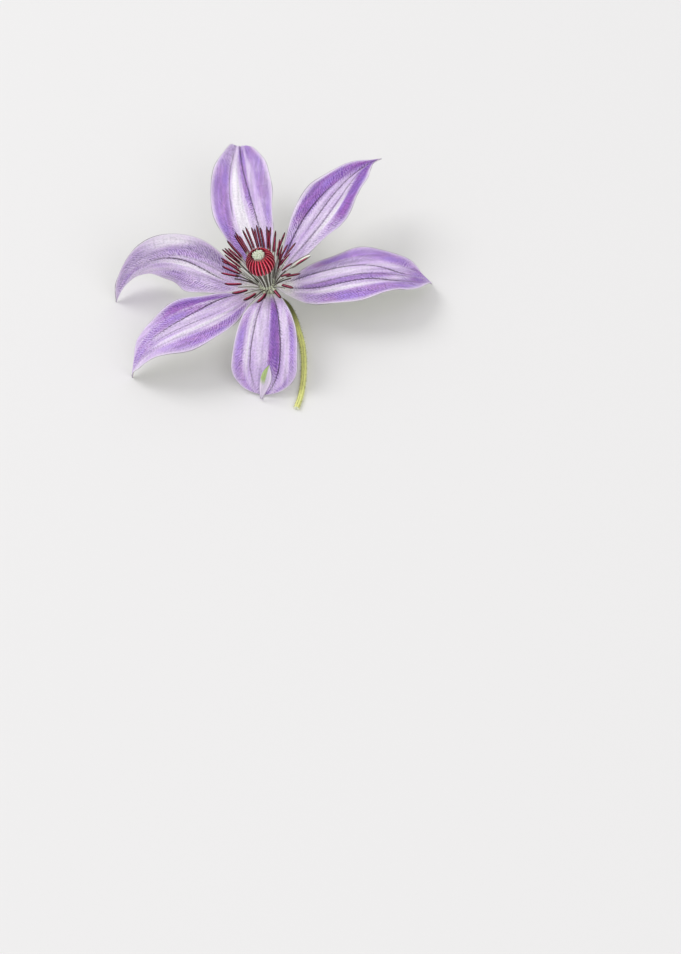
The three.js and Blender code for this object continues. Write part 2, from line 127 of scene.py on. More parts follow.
# Washes of colour on each sepal's upper face, each laid over those before it: the colour, its (place along,
# place across, half width) at both ends, and its strength. Across runs from -1, right, to 1, left. The
# washes are partly the sepals' own colour and partly painted light: the violet, deep and grey ones also lay
# painted shade, beside the veins and on one side of each pleat, and the white ones are partly painted
# highlights
WASH_COLOURS = ["violet", "deep", "white", "grey_tint_and_shade"]
WASH_FADE = 0.15
WASHES = {
    "sepal_1": [
        ("violet", (0.1, 0.7, 0.24), (0.9, 0.68, 0.28), 0.85),
        ("grey_tint_and_shade", (0.76, 0.7, 0.3), (1.3, 0.6, 0.4), 0.6),
        ("white", (0.14, 0.04, 0.3), (0.78, 0.24, 0.07), 0.9),
        ("violet", (0.4, -0.26, 0.08), (0.96, 0.06, 0.15), 0.9),
        ("violet", (0.28, -0.86, 0.14), (0.72, -0.64, 0.26), 0.8),
        ("deep", (0.42, -0.8, 0.12), (0.76, -0.66, 0.16), 0.55),
        ("violet", (0.74, -0.6, 0.26), (1.2, -0.3, 0.6), 0.8)],
    "sepal_2": [
        ("violet", (0.06, 0.72, 0.26), (0.6, 0.7, 0.3), 0.85),
        ("deep", (0.3, 0.68, 0.22), (1, 0.5, 0.5), 0.8), ("deep", (0.86, 0, 0.8), (1.3, 0, 1), 0.9),
        ("white", (0.25, -0.4, 0.09), (0.8, -0.42, 0.07), 0.8),
        ("violet", (0.3, -0.8, 0.16), (0.6, -0.76, 0.24), 0.7),
        ("deep", (0.42, -0.82, 0.2), (0.95, -0.48, 0.34), 0.95),
        ("grey_tint_and_shade", (0.08, -0.7, 0.3), (0.4, -0.6, 0.3), 0.35),
        ("white", (0.3, 0.98, 0.1), (0.8, 0.98, 0.08), 0.5)],
    "sepal_3": [
        ("violet", (0.15, 0.82, 0.2), (0.82, 0.75, 0.3), 0.8),
        ("grey_tint_and_shade", (0.06, 0.62, 0.13), (0.5, 0.56, 0.1), 0.8),
        ("white", (0.12, 0.24, 0.13), (0.55, 0.2, 0.08), 0.45),
        ("violet", (0.06, -0.12, 0.14), (0.7, -0.12, 0.13), 0.85),
        ("white", (0.1, -0.4, 0.07), (0.6, -0.42, 0.07), 0.6),
        ("violet", (0.18, -0.74, 0.2), (0.85, -0.7, 0.25), 0.85),
        ("violet", (0.74, 0.1, 0.6), (1.3, 0.1, 0.9), 0.75),
        ("deep", (0.68, -0.5, 0.2), (0.95, -0.45, 0.35), 0.7)],
    "sepal_4": [
        ("violet", (0.15, 0.88, 0.1), (0.66, 0.86, 0.16), 0.7),
        ("white", (0.12, 0.66, 0.09), (0.55, 0.66, 0.06), 0.35),
        ("deep", (0.08, 0.28, 0.17), (0.6, 0.27, 0.2), 0.9),
        ("white", (0.1, -0.15, 0.14), (0.5, -0.2, 0.12), 0.3),
        ("white", (0.1, -0.56, 0.05), (0.58, -0.54, 0.04), 0.6),
        ("violet", (0.2, -0.84, 0.14), (0.7, -0.8, 0.2), 0.7),
        ("violet", (0.62, 0.1, 0.6), (0.72, 0, 1), 0.35)],
    "sepal_5": [
        ("violet", (0.12, 0.72, 0.2), (0.66, 0.7, 0.28), 0.85),
        ("white", (0.2, 0.28, 0.07), (0.8, 0.26, 0.06), 0.7),
        ("violet", (0.28, -0.45, 0.14), (0.74, -0.4, 0.18), 0.75),
        ("deep", (0.12, -0.8, 0.14), (0.66, -0.76, 0.22), 0.9),
        ("violet", (0.66, -0.1, 0.5), (1.3, 0, 1), 0.55)],
    "sepal_6": [
        ("grey_tint_and_shade", (0.15, 0.62, 0.26), (0.62, 0.66, 0.4), 0.6),
        ("violet", (0.2, 0.6, 0.2), (0.6, 0.5, 0.2), 0.45),
        ("white", (0.2, 0.1, 0.12), (0.64, -0.02, 0.06), 0.7),
        ("grey_tint_and_shade", (0.1, -0.62, 0.28), (0.5, -0.66, 0.3), 0.9),
        ("violet", (0.24, -0.4, 0.12), (0.6, -0.3, 0.12), 0.5),
        ("white", (0.42, -1, 0.3), (0.68, -0.62, 0.26), 0.85),
        ("grey_tint_and_shade", (0.58, -0.4, 0.5), (1.1, -0.3, 0.8), 0.55),
        ("white", (0.62, 0.5, 0.5), (1.2, 0.3, 0.8), 0.4),
        ("violet", (0.66, -0.15, 0.14), (1, -0.1, 0.2), 0.5)],
}

# The three main veins, from the left one to the right one: where each runs across the blade from claw to
# tip, how dark it is, and where along the blade it fades in and out
VEIN_FADE = 0.1
VEINS = {
    "sepal_1": [
        ([0.36, 0.37, 0.38, 0.38, 0.36], 0.6, (0.42, 0.86)), ([0, 0, 0, 0.02, 0.05], 0.1, (0.1, 0.6)),
        ([-0.45, -0.42, -0.28, -0.04, 0.15], 0.9, (0.1, 1.2))],
    "sepal_2": [
        ([0.56, 0.53, 0.43, 0.3, 0.1], 1, (0.1, 0.68)), ([0.05, 0.06, 0.05, 0.04, 0], 0.85, (0.36, 1)),
        ([-0.3, -0.3, -0.29, -0.25, -0.1], 0.6, (0.15, 0.82))],
    "sepal_3": [
        ([0.6, 0.5, 0.33, -0.05, -0.3], 0.9, (0.05, 0.8)),
        ([0.03, 0.02, 0, -0.22, -0.4], 0.7, (0.2, 0.76)),
        ([-0.2, -0.24, -0.25, -0.5, -0.55], 0.95, (0.1, 0.8))],
    "sepal_4": [
        ([0.4, 0.42, 0.45, 0.3, 0.2], 1, (0.08, 0.64)), ([0, 0.03, 0.04, 0, 0], 0.25, (0.1, 0.4)),
        ([-0.42, -0.42, -0.44, -0.3, -0.2], 0.8, (0.12, 0.6))],
    "sepal_5": [
        ([0.4, 0.38, 0.35, 0.3, 0.2], 0.2, (0.4, 0.8)), ([0.1, 0.05, 0.02, 0, 0], 0.5, (0.3, 0.7)),
        ([-0.95, -0.58, -0.27, -0.2, -0.15], 1, (0.12, 0.7))],
    "sepal_6": [
        ([0.3, 0.08, -0.1, -0.12, -0.2], 1, (0.2, 0.62)), ([0.4, 0.3, 0.25, 0.2, 0], 0.35, (0.1, 0.4)),
        ([-0.25, -0.23, -0.22, -0.24, -0.3], 0.35, (0.1, 0.6))],
}

# Real fine veins are closer, and real cells finer. Both are as coarse here as they need to be to show
FINE_VEIN_SPACING = 1.2 * MM
FINE_VEIN_SLANT = 1.1
GRAIN_SIZE = 0.8 * MM
STREAK_SIZE = 1.1 * MM
RIPPLE_SIZE = 3 * MM
BLOT_SIZE = 5 * MM

# The underside: its veins, and its green bar, about half as wide as the blade. At the fold of `sepal_4` the
# bar stops, and on the folded tip it lies to the right
UNDERSIDE_VEINS = (0.0, 0.2, VEIN_SPACING)
BAR_HALF = (0.4, 0.56)
BAR_ASIDE = {"sepal_4": (-0.42, 0.72, 0.82)}
BAR_GAP = {"sepal_4": (0.64, 0.86)}
BAR_GAP_FADE = 0.03

# A blade's fine relief, finer than the solids': sharper grooves, a thin margin, and puckers
BLADE_RIB = 0.62 * MM
BLADE_MARGIN = 0.3 * MM
BLADE_EDGE = 0.12 * MM
GROOVE_DEPTH = 0.16 * MM
GROOVE_WIDTH = 0.34 * MM
PUCKER_HEIGHT = 0.5 * MM
PUCKER_SIZE = 5 * MM
PUCKER_AT_RIB = 0.35
PUCKER_RISES = (0.2, 0.9)
EDGE_FROM = 0.94

# Down: fine tapered hairs, fewer off the bar, and none close to the table
SEPAL_DOWN = dict(Density=1.6e6, Length=0.55 * MM, Thickness=0.022 * MM, Lean=0.8)
STYLE_DOWN = dict(Density=1e7, Length=0.5 * MM, Thickness=0.025 * MM, Lean=0.5)
STALK_BRISTLES = dict(Density=4e6, Length=1.1 * MM, Thickness=0.035 * MM, Lean=0.6)
DOWN_OFF_BAR = 0.12
DOWN_CLEARANCE = (0.5 * MM, 1 * MM)

# Outer stamens, in whorls from the lowest and widest to the steepest
OUTER_RADIUS = 3.8 * MM
OUTER_WHORLS = [
    dict(count=16, height=1.9, rise=[49, 10], length=18.5, spread=360, shift=0),
    dict(count=14, height=2.3, rise=[59, 36], length=21, spread=240, shift=-0.25),
    dict(count=14, height=2.7, rise=[69, 58], length=22.5, spread=240, shift=0.25),
]
SPREAD_MIDDLE = 85
LIFTED_SIDE = 60
LIFT = 13
STRETCH = 3
FRONT_DROP = 10
STEEPEST = 71
SCATTER = dict(azimuth=3, rise=4, sway=18, length=2.2)
FRONT_CURL = -62
CURL_LIMIT = 0.2
ANTHER_FROM = 0.56
ANTHER_FULL = 0.62
OUTER_ANTHER_HALF = 0.42 * MM
FRONT_SWELL = 0.5
FRONT_DARKENING = 0.7
FILAMENT_HALF = 0.32 * MM
BLUNT_FROM = 0.86
# An anther's painted highlight runs down one lobe, this far to the side on its round profile
HIGHLIGHT_ASIDE = 0.32
STAMEN_GRAIN_SIZE = 0.9 * MM

# Painted shade between the filaments: every third outer filament is dark, and those at the front have dark
# rims, as has the petal-like one
SHADED_THREAD_STEP = 3
SHADED_RIM_TONE = 0.25
RIMMED_FROM = 0.4

# One outer stamen is petal-like, with half an anther along its edge. Its blade opens from a share of its
# length, and is at its full width after a share of the rest
PETALOID = dict(
    azimuth=14, rise=[42, 14], length=20.5, half=1.5, opens=(0.42, 0.3), bluntness=5,
    anther=(0.62, 0.94), aside=0.55, lift=0.25, tone=0.8)

# How each kind of strand is swept, by the number that its points carry as `kind`. How flat an anther is
# comes with its piece
FILAMENT, ANTHER, PETAL_LIKE = 0.0, 1.0, 2.0
LIMB_SHAPES = {
    FILAMENT: {"Sides": 8, "Flatness": 0.85, "Ribs": 0.0, "Rib Height": 0.0},
    ANTHER: {"Sides": 16, "Ribs": 2.0, "Rib Height": 0.22},
    PETAL_LIKE: {"Sides": 24, "Flatness": 0.22, "Ribs": 0.0, "Rib Height": 0.0},
}

# Inner stamens: their anthers lean in to form a ribbed barrel
INNER_COUNT = 24
BARREL_RADII = [2.5, 2.8, 3.3, 4.1, 5, 5.7, 5.7, 4.7, 3.1]
BARREL_HEIGHTS = [2.2, 5, 7.8, 10.5, 13.1, 15.6, 18, 20.2, 21.7]
BARREL_ANTHER_FROM = 0.52
BARREL_ANTHER_FULL = 0.58
BARREL_FILL = 0.76
STRAND_STATIONS = 30

# Pistils: a bundle of silky styles in the barrel's mouth
STYLE_COUNT = 46
STYLE_FOOT = 2 * MM
STYLE_TOP = 22.4 * MM
STYLE_CROWN = 0.6 * MM
STYLE_SCATTER = 0.2 * MM
STYLE_HALF = 0.34 * MM
STYLE_TAPER = 0.3
STYLE_TAPER_FROM = 0.9
STYLE_DOWNY = (0.2, 0.8)
STYLE_FIRST = 0.3
STYLE_REACH = (1.25 * MM, 2.65 * MM)
GOLDEN_ANGLE = 137.508

# The plant's colours, as sRGB hex values. The light anther colours are painted highlights, the dark anther
# colours and the filament shade also serve as painted shade, and the grey wash colour is partly painted
# shade
COLOURS = {
    "white": "#f8f4fa", "pale": "#e8daf2", "lilac": "#cfb3e6", "violet": "#ae85d4", "mauve": "#bf92d2",
    "deep": "#8a53b6", "plum": "#a461bb", "bluebell": "#a48ae2", "ink": "#7445a8", "grey_tint_and_shade": "#b9a7cb",
    "vein": "#44334e", "claw": "#eef0e2", "leaf": "#b4c884", "leaf_vein": "#55733a", "stalk": "#eef096",
    "olive": "#5c5d34", "down": "#f1efe2", "bristle": "#74754a", "pith": "#e9ecd2", "filament": "#fbfdf2",
    "filament_shade": "#3a2a1c", "heart": "#f4fae0", "maroon": "#c41b58", "maroon_painted_highlight": "#f097ad",
    "near_black_and_shade": "#1d060c", "crimson": "#ee1443", "crimson_painted_highlight": "#ffd3da", "crimson_dark_and_shade": "#520619",
    "style": "#fafff0", "style_shade": "#dfeacd", "paper": "#efeeee",
}


def linear(name):
    """A colour of the plant as linear RGBA."""
    code = COLOURS[name].lstrip("#")
    parts = [int(code[i:i + 2], 16) / 255 for i in (0, 2, 4)]
    return [c / 12.92 if c <= 0.04045 else ((c + 0.055) / 1.055) ** 2.4 for c in parts] + [1]


def wobble(index, kind):
    """A steady spread from -1 to 1 that stands in for chance."""
    return math.sin(index * 12.9898 + kind * 4.1414)


def ease(values, low, high):
    share = np.clip((np.asarray(values, float) - low) / (high - low), 0, 1)
    return share * share * (3 - 2 * share)


def between(values, low, high, fade):
    """1 between two values and 0 outside them, with a fade centred on each."""
    return ease(values, low - fade, low + fade) * (1 - ease(values, high - fade, high + fade))


def bezier(values, s):
    """A value that starts at the first number, ends at the last and is drawn towards those between."""
    rows = [np.full_like(s, value) for value in values]
    while len(rows) > 1:
        rows = [a + (b - a) * s for a, b in zip(rows, rows[1:])]
    return rows[0]


def through(values, s):
    """A smooth value that passes through every number, evenly spaced over s from 0 to 1."""
    place = np.clip(s, 0, 1) * (len(values) - 1)
    i = np.minimum(place.astype(int), len(values) - 2)
    f = place - i
    more = np.array([2 * values[0] - values[1], *values, 2 * values[-1] - values[-2]], float)
    a, b, c, d = (more[i + k] for k in range(4))
    return b + 0.5 * f * (c - a + f * (2 * a - 5 * b + 4 * c - d + f * (3 * (b - c) + d - a)))


def direction(pitch, heading):
    pitch, heading = np.radians(pitch), np.radians(heading)
    return np.stack([np.cos(pitch) * np.cos(heading), np.cos(pitch) * np.sin(heading), np.sin(pitch)], -1)


def growth(start, length, pitch, heading, stations, roll=(0,), curl=None):
    """Points, sides and normals along a line that grows from `start` and turns as it goes."""
    def angles(s):
        turn, aside, low, high = curl or (0, 0, 0, 1)
        return bezier(pitch, s) + turn * ease(s, low, high), bezier(heading, s) + aside * ease(s, low, high)

    middles = (stations[1:] + stations[:-1]) / 2
    steps = direction(*angles(middles)) * (length * np.diff(stations))[:, None]
    first = direction(*angles(np.zeros(1))) * length * stations[0]
    points = start + first + np.concatenate([np.zeros((1, 3)), np.cumsum(steps, 0)])
    turned, headed = angles(stations)
    tangent = direction(turned, headed)
    level = direction(np.zeros_like(headed), headed + 90)
    turn = np.radians(bezier(roll, stations))[:, None]
    side = level * np.cos(turn) + np.cross(tangent, level) * np.sin(turn)
    return points, side, np.cross(tangent, side)


def from_head(points):
    """From the leaning head's own frame to the flower's."""
    return points @ LEANED.T + HEAD_AT


def add(tree, kind, inputs=None, **settings):
    """Adds a node. Inputs are by number or name; a node given as a value links its first live output."""
    made = tree.nodes.new(kind)
    for name, value in settings.items():
        setattr(made, name, value)
    for key, value in (inputs or {}).items():
        named = [s for s in made.inputs if s.enabled and s.name == key]
        socket = named[0] if named else made.inputs[key]
        if isinstance(value, bpy.types.Node):
            value = next(s for s in value.outputs if s.enabled)
        if isinstance(value, bpy.types.NodeSocket):
            tree.links.new(value, socket)
        else:
            socket.default_value = value
    return made


SOCKET_KINDS = {
    "Geometry": "Geometry", "Material": "Material", "Down Material": "Material", "Seed": "Int",
    "Sides": "Int",
}


def new_tree(name, *sockets):
    """A Geometry Nodes tree with a geometry in and out, and the named inputs. Returns it with its ends."""
    tree = bpy.data.node_groups.new(name, "GeometryNodeTree")
    tree.interface.new_socket("Geometry", in_out="OUTPUT", socket_type="NodeSocketGeometry")
    for socket in ("Geometry", *sockets):
        kind = "NodeSocket" + SOCKET_KINDS.get(socket, "Float")
        tree.interface.new_socket(socket, in_out="INPUT", socket_type=kind)
    return tree, tree.nodes.new("NodeGroupInput").outputs, tree.nodes.new("NodeGroupOutput")


def finished(tree, geometry, material, out, *beside):
    """Ends a tree: instances made real, in that material, with any other geometry beside them."""
    real = add(tree, "GeometryNodeRealizeInstances", {"Geometry": geometry})
    both = add(tree, "GeometryNodeJoinGeometry")
    for other in beside:
        tree.links.new(other, both.inputs[0])
    coloured = add(tree, "GeometryNodeSetMaterial", {"Geometry": real, "Material": material})
    tree.links.new(coloured.outputs[0], both.inputs[0])
    tree.links.new(both.outputs[0], out.inputs[0])
    return tree


def placed(name, data):
    """An object with that data, in the scene."""
    made = bpy.data.objects.new(name, data)
    bpy.context.scene.collection.objects.link(made)
    return made


def grown(name, mesh, tree, **inputs):
    """The plain mesh object that a tree makes of `mesh` with those inputs."""
    seed = placed(name + "_seed", mesh)
    modifier = seed.modifiers.new(tree.name, "NODES")
    modifier.node_group = tree
    for socket in tree.interface.items_tree:
        key = socket.name.replace(" ", "_")
        if key in inputs:
            modifier[socket.identifier] = inputs[key]
    graph = bpy.context.evaluated_depsgraph_get()
    made = bpy.data.meshes.new_from_object(
        seed.evaluated_get(graph), preserve_all_data_layers=True, depsgraph=graph)
    bpy.data.objects.remove(seed)
    made.name = name
    return placed(name, made)


def stand_in(piece, node):
    """The piece takes its node's place and rides where the node does."""
    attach(piece, "root")
    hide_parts(node)


def attribute(mesh, name, values):
    """A number, a vector or four amounts for each point of the mesh."""
    values = np.asarray(values, np.float32)
    wide = values.shape[1] if values.ndim > 1 else 1
    kind, field = {1: ("FLOAT", "value"), 3: ("FLOAT_VECTOR", "vector"), 4: ("FLOAT_COLOR", "color")}[wide]
    mesh.attributes.new(name, kind, "POINT").data.foreach_set(field, values.ravel())


def product(tree, *factors):
    """The product of some factors. A factor is a value or a soft ramp, (value, from, to, amount at the
    start, amount at the end)."""
    total = 1.0
    for factor in factors:
        if isinstance(factor, tuple):
            value, low, high, bottom, top = factor
            factor = add(tree, "ShaderNodeMapRange", {
                "Value": value, "From Min": low, "From Max": high, "To Min": bottom, "To Max": top},
                interpolation_type="SMOOTHSTEP")
        total = add(tree, "ShaderNodeMath", {0: total, 1: factor}, operation="MULTIPLY")
    return total


def weighted(tree, total, *parts):
    """A value to start with, plus each other value times its share."""
    for value, share in parts:
        total = add(tree, "ShaderNodeMath", {0: value, 1: share, 2: total}, operation="MULTIPLY_ADD")
    return total


# Geometry Nodes: fine hairs on a surface

def down_tree():
    """Short tapered hairs, denser where the attribute `downy` is higher, leaning at random."""
    tree, given, out = new_tree("down", "Density", "Length", "Thickness", "Lean", "Seed", "Material")
    downy = add(tree, "GeometryNodeInputNamedAttribute", {"Name": "downy"})
    place = add(tree, "ShaderNodeSeparateXYZ", {0: add(tree, "GeometryNodeInputPosition")})
    clear = add(tree, "ShaderNodeMapRange", {
        "Value": place.outputs["Z"], "From Min": DOWN_CLEARANCE[0], "From Max": DOWN_CLEARANCE[1]})
    spread = add(tree, "GeometryNodeDistributePointsOnFaces", {
        "Mesh": given["Geometry"], "Density": product(tree, clear, given["Density"], downy),
        "Seed": given["Seed"]})
    hair = add(tree, "GeometryNodeMeshCone", {
        "Vertices": 3, "Side Segments": 2, "Radius Bottom": given["Thickness"], "Radius Top": 0.0,
        "Depth": given["Length"]}, fill_type="NONE")
    lean = add(tree, "FunctionNodeRandomValue", {
        "Min": (-1, -1, -1), "Max": (1, 1, 1), "Seed": given["Seed"]}, data_type="FLOAT_VECTOR")
    leaning = add(tree, "ShaderNodeVectorMath", {0: lean, "Scale": given["Lean"]}, operation="SCALE")
    upright = add(tree, "ShaderNodeVectorMath", {0: spread.outputs["Normal"], 1: leaning}, operation="ADD")
    turn = add(tree, "FunctionNodeAlignRotationToVector", {"Vector": upright}, axis="Z")
    size = add(tree, "FunctionNodeRandomValue", {"Min": 0.5, "Max": 1.0}, data_type="FLOAT")
    hairs = add(tree, "GeometryNodeInstanceOnPoints", {
        "Points": spread, "Instance": hair, "Rotation": turn, "Scale": size})
    return finished(tree, hairs, given["Material"], out, given["Geometry"])


DOWN = down_tree()


def rested(tree, geometry):
    """Nothing reaches below the table."""
    place = add(tree, "ShaderNodeSeparateXYZ", {0: add(tree, "GeometryNodeInputPosition")})
    height = add(tree, "ShaderNodeMath", {0: place.outputs["Z"], 1: 0.0}, operation="MAXIMUM")
    higher = add(tree, "ShaderNodeCombineXYZ", {
        "X": place.outputs["X"], "Y": place.outputs["Y"], "Z": height})
    return add(tree, "GeometryNodeSetPosition", {"Geometry": geometry, "Position": higher})


# Geometry Nodes: limbs swept along lines

def sweep_tree():
    """Sweeps a ribbed oval along lines whose points carry `girth`, the half width, and `facing`. The surface
    keeps `round`, its place on the unit circle: X towards `facing`, Y to the side."""
    tree, given, out = new_tree("sweep", "Sides", "Flatness", "Ribs", "Rib Height")
    girth = add(tree, "GeometryNodeInputNamedAttribute", {"Name": "girth"})
    facing = add(tree, "GeometryNodeInputNamedAttribute", {"Name": "facing"}, data_type="FLOAT_VECTOR")
    lines = add(tree, "GeometryNodeMeshToCurve", {"Mesh": given["Geometry"]})
    faced = add(tree, "GeometryNodeSetCurveNormal", {"Curve": lines, "Normal": facing}, mode="FREE")
    circle = add(tree, "GeometryNodeCurvePrimitiveCircle", {"Resolution": given["Sides"], "Radius": 1.0})
    place = add(tree, "GeometryNodeInputPosition")
    parts = add(tree, "ShaderNodeSeparateXYZ", {0: place})
    angle = add(tree, "ShaderNodeMath", {0: parts.outputs["X"], 1: parts.outputs["Y"]}, operation="ARCTAN2")
    swell = add(tree, "ShaderNodeMath", {0: product(tree, angle, given["Ribs"])}, operation="COSINE")
    radius = weighted(tree, 1.0, (swell, given["Rib Height"]))
    oval = add(tree, "ShaderNodeCombineXYZ", {"X": given["Flatness"], "Y": 1.0, "Z": 1.0})
    shaped = add(tree, "ShaderNodeVectorMath", {0: place, 1: oval}, operation="MULTIPLY")
    scaled = add(tree, "ShaderNodeVectorMath", {0: shaped, "Scale": radius}, operation="SCALE")
    marked = add(tree, "GeometryNodeStoreNamedAttribute", {
        "Geometry": circle, "Name": "round", "Value": place}, data_type="FLOAT_VECTOR", domain="POINT")
    profile = add(tree, "GeometryNodeSetPosition", {"Geometry": marked, "Position": scaled})
    limbs = add(tree, "GeometryNodeCurveToMesh", {
        "Curve": faced, "Profile Curve": profile, "Scale": girth, "Fill Caps": True})
    smooth = add(tree, "GeometryNodeSetShadeSmooth", {"Geometry": limbs})
    tree.links.new(smooth.outputs[0], out.inputs[0])
    return tree


SWEEP = sweep_tree()


def stamens_tree():
    """Filaments as round limbs, anthers as limbs of two lobes, and the petal-like one as a thin blade."""
    tree, given, out = new_tree("stamens", "Anther Flatness", "Material")
    kind = add(tree, "GeometryNodeInputNamedAttribute", {"Name": "kind"})
    joined = add(tree, "GeometryNodeJoinGeometry")
    for number, shape in LIMB_SHAPES.items():
        chosen = add(
            tree, "FunctionNodeCompare", {"A": kind, "B": number, "Epsilon": 0.1}, operation="EQUAL")
        parted = add(tree, "GeometryNodeSeparateGeometry", {
            "Geometry": given["Geometry"], "Selection": chosen}, domain="POINT")
        limb = add(tree, "GeometryNodeGroup", {
            "Geometry": parted, "Flatness": given["Anther Flatness"], **shape}, node_tree=SWEEP)
        tree.links.new(limb.outputs[0], joined.inputs[0])
    return finished(tree, joined, given["Material"], out)


def downy_limbs_tree():
    """Downy limbs, pressed flat where they meet the table."""
    swept, haired = ("Geometry", "Sides", "Ribs", "Rib Height"), ("Density", "Length", "Thickness", "Lean")
    tree, given, out = new_tree("downy_limbs", *swept[1:], *haired, "Material", "Down Material")
    limbs = add(tree, "GeometryNodeGroup", {
        "Flatness": 1.0, **{name: given[name] for name in swept}}, node_tree=SWEEP)
    coloured = add(tree, "GeometryNodeSetMaterial", {
        "Geometry": rested(tree, limbs), "Material": given["Material"]})
    downy = add(tree, "GeometryNodeGroup", {
        "Geometry": coloured, "Seed": 4, "Material": given["Down Material"],
        **{name: given[name] for name in haired}}, node_tree=DOWN)
    tree.links.new(downy.outputs[0], out.inputs[0])
    return tree


# Geometry Nodes: the skin of a sepal over its middle surface

def blade_tree():
    """Grooves at the three main veins, puckers, thickness from rib to margin, and down underneath."""
    tree, given, out = new_tree(
        "blade", "Groove Depth", "Groove Width", "Full Half Width", "Pucker Height", "Pucker Size", "Rib",
        "Margin", "Edge", "Seed", "Material", "Down Material")
    across, half, bar = (
        add(tree, "GeometryNodeInputNamedAttribute", {"Name": name})
        for name in ("across", "half_width", "bar"))
    outwards, veins = (
        add(tree, "GeometryNodeInputNamedAttribute", {"Name": name}, data_type="FLOAT_VECTOR")
        for name in ("outwards", "veins"))
    apart = add(tree, "ShaderNodeMath", {0: across}, operation="ABSOLUTE")

    groove = 0.0
    off_veins = add(tree, "ShaderNodeSeparateXYZ", {0: veins})
    for off in off_veins.outputs:
        share = add(tree, "ShaderNodeMath", {0: off, 1: given["Groove Width"]}, operation="DIVIDE")
        one = add(tree, "ShaderNodeMath", {0: product(tree, share, share, -1.0)}, operation="EXPONENT")
        groove = add(tree, "ShaderNodeMath", {0: groove, 1: one}, operation="MAXIMUM")

    fine = add(tree, "ShaderNodeMath", {0: 1.0, 1: given["Pucker Size"]}, operation="DIVIDE")
    puckers = add(tree, "ShaderNodeTexNoise", {
        "Scale": fine, "Detail": 1.5, "W": given["Seed"]}, noise_dimensions="4D")
    centred = add(tree, "ShaderNodeMath", {0: puckers.outputs["Fac"], 1: 0.5}, operation="SUBTRACT")
    loose = add(tree, "ShaderNodeMapRange", {
        "Value": apart, "From Min": PUCKER_RISES[0], "From Max": PUCKER_RISES[1], "To Min": PUCKER_AT_RIB})
    raised = add(tree, "ShaderNodeMath", {
        0: product(tree, centred, given["Pucker Height"], loose),
        1: product(tree, groove, given["Groove Depth"])}, operation="SUBTRACT")
    size = add(
        tree, "ShaderNodeMath", {0: half, 1: given["Full Half Width"]}, operation="DIVIDE", use_clamp=True)
    relief = product(tree, raised, size)

    inner = add(tree, "ShaderNodeMapRange", {
        "Value": apart, "To Min": given["Rib"], "To Max": given["Margin"]})
    thick = add(tree, "ShaderNodeMapRange", {
        "Value": apart, "From Min": EDGE_FROM, "To Min": inner, "To Max": given["Edge"]},
        interpolation_type="SMOOTHSTEP")
    under = weighted(tree, relief, (thick, -0.5))
    down_by = add(tree, "ShaderNodeVectorMath", {0: outwards, "Scale": under}, operation="SCALE")
    lower = add(tree, "GeometryNodeSetPosition", {"Geometry": given["Geometry"], "Offset": down_by})
    thickness = add(tree, "ShaderNodeVectorMath", {0: outwards, "Scale": thick}, operation="SCALE")
    extruded = add(tree, "GeometryNodeExtrudeMesh", {
        "Mesh": lower, "Offset": thickness, "Offset Scale": 1.0, "Individual": False}, mode="FACES")
    upper = add(tree, "GeometryNodeStoreNamedAttribute", {
        "Geometry": extruded, "Selection": extruded.outputs["Top"], "Name": "upper", "Value": 1.0},
        data_type="FLOAT", domain="POINT")
    flipped = add(tree, "GeometryNodeFlipFaces", {"Mesh": lower})
    softness = add(tree, "ShaderNodeMapRange", {"Value": bar, "To Min": DOWN_OFF_BAR})
    downy = add(tree, "GeometryNodeStoreNamedAttribute", {
        "Geometry": flipped, "Name": "downy", "Value": softness}, data_type="FLOAT", domain="POINT")
    shell = add(tree, "GeometryNodeJoinGeometry")
    tree.links.new(upper.outputs[0], shell.inputs[0])
    tree.links.new(downy.outputs[0], shell.inputs[0])
    closed = add(tree, "GeometryNodeMergeByDistance", {"Geometry": shell, "Distance": 1e-6})
    smooth = add(tree, "GeometryNodeSetShadeSmooth", {"Geometry": rested(tree, closed)})
    coloured = add(tree, "GeometryNodeSetMaterial", {"Geometry": smooth, "Material": given["Material"]})
    haired = add(tree, "GeometryNodeGroup", {
        "Geometry": coloured, "Seed": given["Seed"], "Material": given["Down Material"], **SEPAL_DOWN},
        node_tree=DOWN)
    tree.links.new(haired.outputs[0], out.inputs[0])
    return tree


# Materials

def tissue(colour, roughness, softness=0.0, bump=None, **sockets):
    """Finishes a material's tree: soft plant tissue with that colour, given as a node of the same tree. A
    bump is (height, how high 1 stands, strength)."""
    tree = colour.id_data
    shader = next(n for n in tree.nodes if n.type == "BSDF_PRINCIPLED")
    tree.links.new(next(s for s in colour.outputs if s.enabled), shader.inputs["Base Color"])
    shader.inputs["Roughness"].default_value = roughness
    shader.inputs["Subsurface Weight"].default_value = softness
    shader.inputs["Subsurface Radius"].default_value = (1.0, 0.8, 0.9)
    shader.inputs["Subsurface Scale"].default_value = 0.6 * MM
    for socket, value in sockets.items():
        shader.inputs[socket.replace("_", " ")].default_value = value
    if bump:
        raised = add(tree, "ShaderNodeBump", dict(zip(("Height", "Distance", "Strength"), bump)))
        tree.links.new(raised.outputs["Normal"], shader.inputs["Normal"])


def new_material(name):
    material = bpy.data.materials.new(name)
    material.use_nodes = True
    return material, material.node_tree


def coated(tree, colour, *coats):
    """A colour with coats laid over it, each (colour, factors of its amount). A colour is a node or the name
    of one of the plant's colours."""
    for coat, *factors in coats:
        under, top = (linear(one) if isinstance(one, str) else one for one in (colour, coat))
        colour = add(tree, "ShaderNodeMix", {
            "Factor": product(tree, *factors), "A": under, "B": top}, data_type="RGBA")
    return colour


def mottled(tree, size, at=None, along=1.0, detail=2.0):
    """Noise from 0 to 1 with blots `size` metres wide, drawn out along the blade if `along` is under 1. It
    lies where `at` says, or else where the piece is."""
    at = at or add(tree, "ShaderNodeTexCoord").outputs["Object"]
    drawn = add(tree, "ShaderNodeVectorMath", {0: at, 1: (1, along, 1)}, operation="MULTIPLY")
    return add(tree, "ShaderNodeTexNoise", {
        "Vector": drawn, "Scale": 1 / size, "Detail": detail}, noise_dimensions="3D").outputs["Fac"]


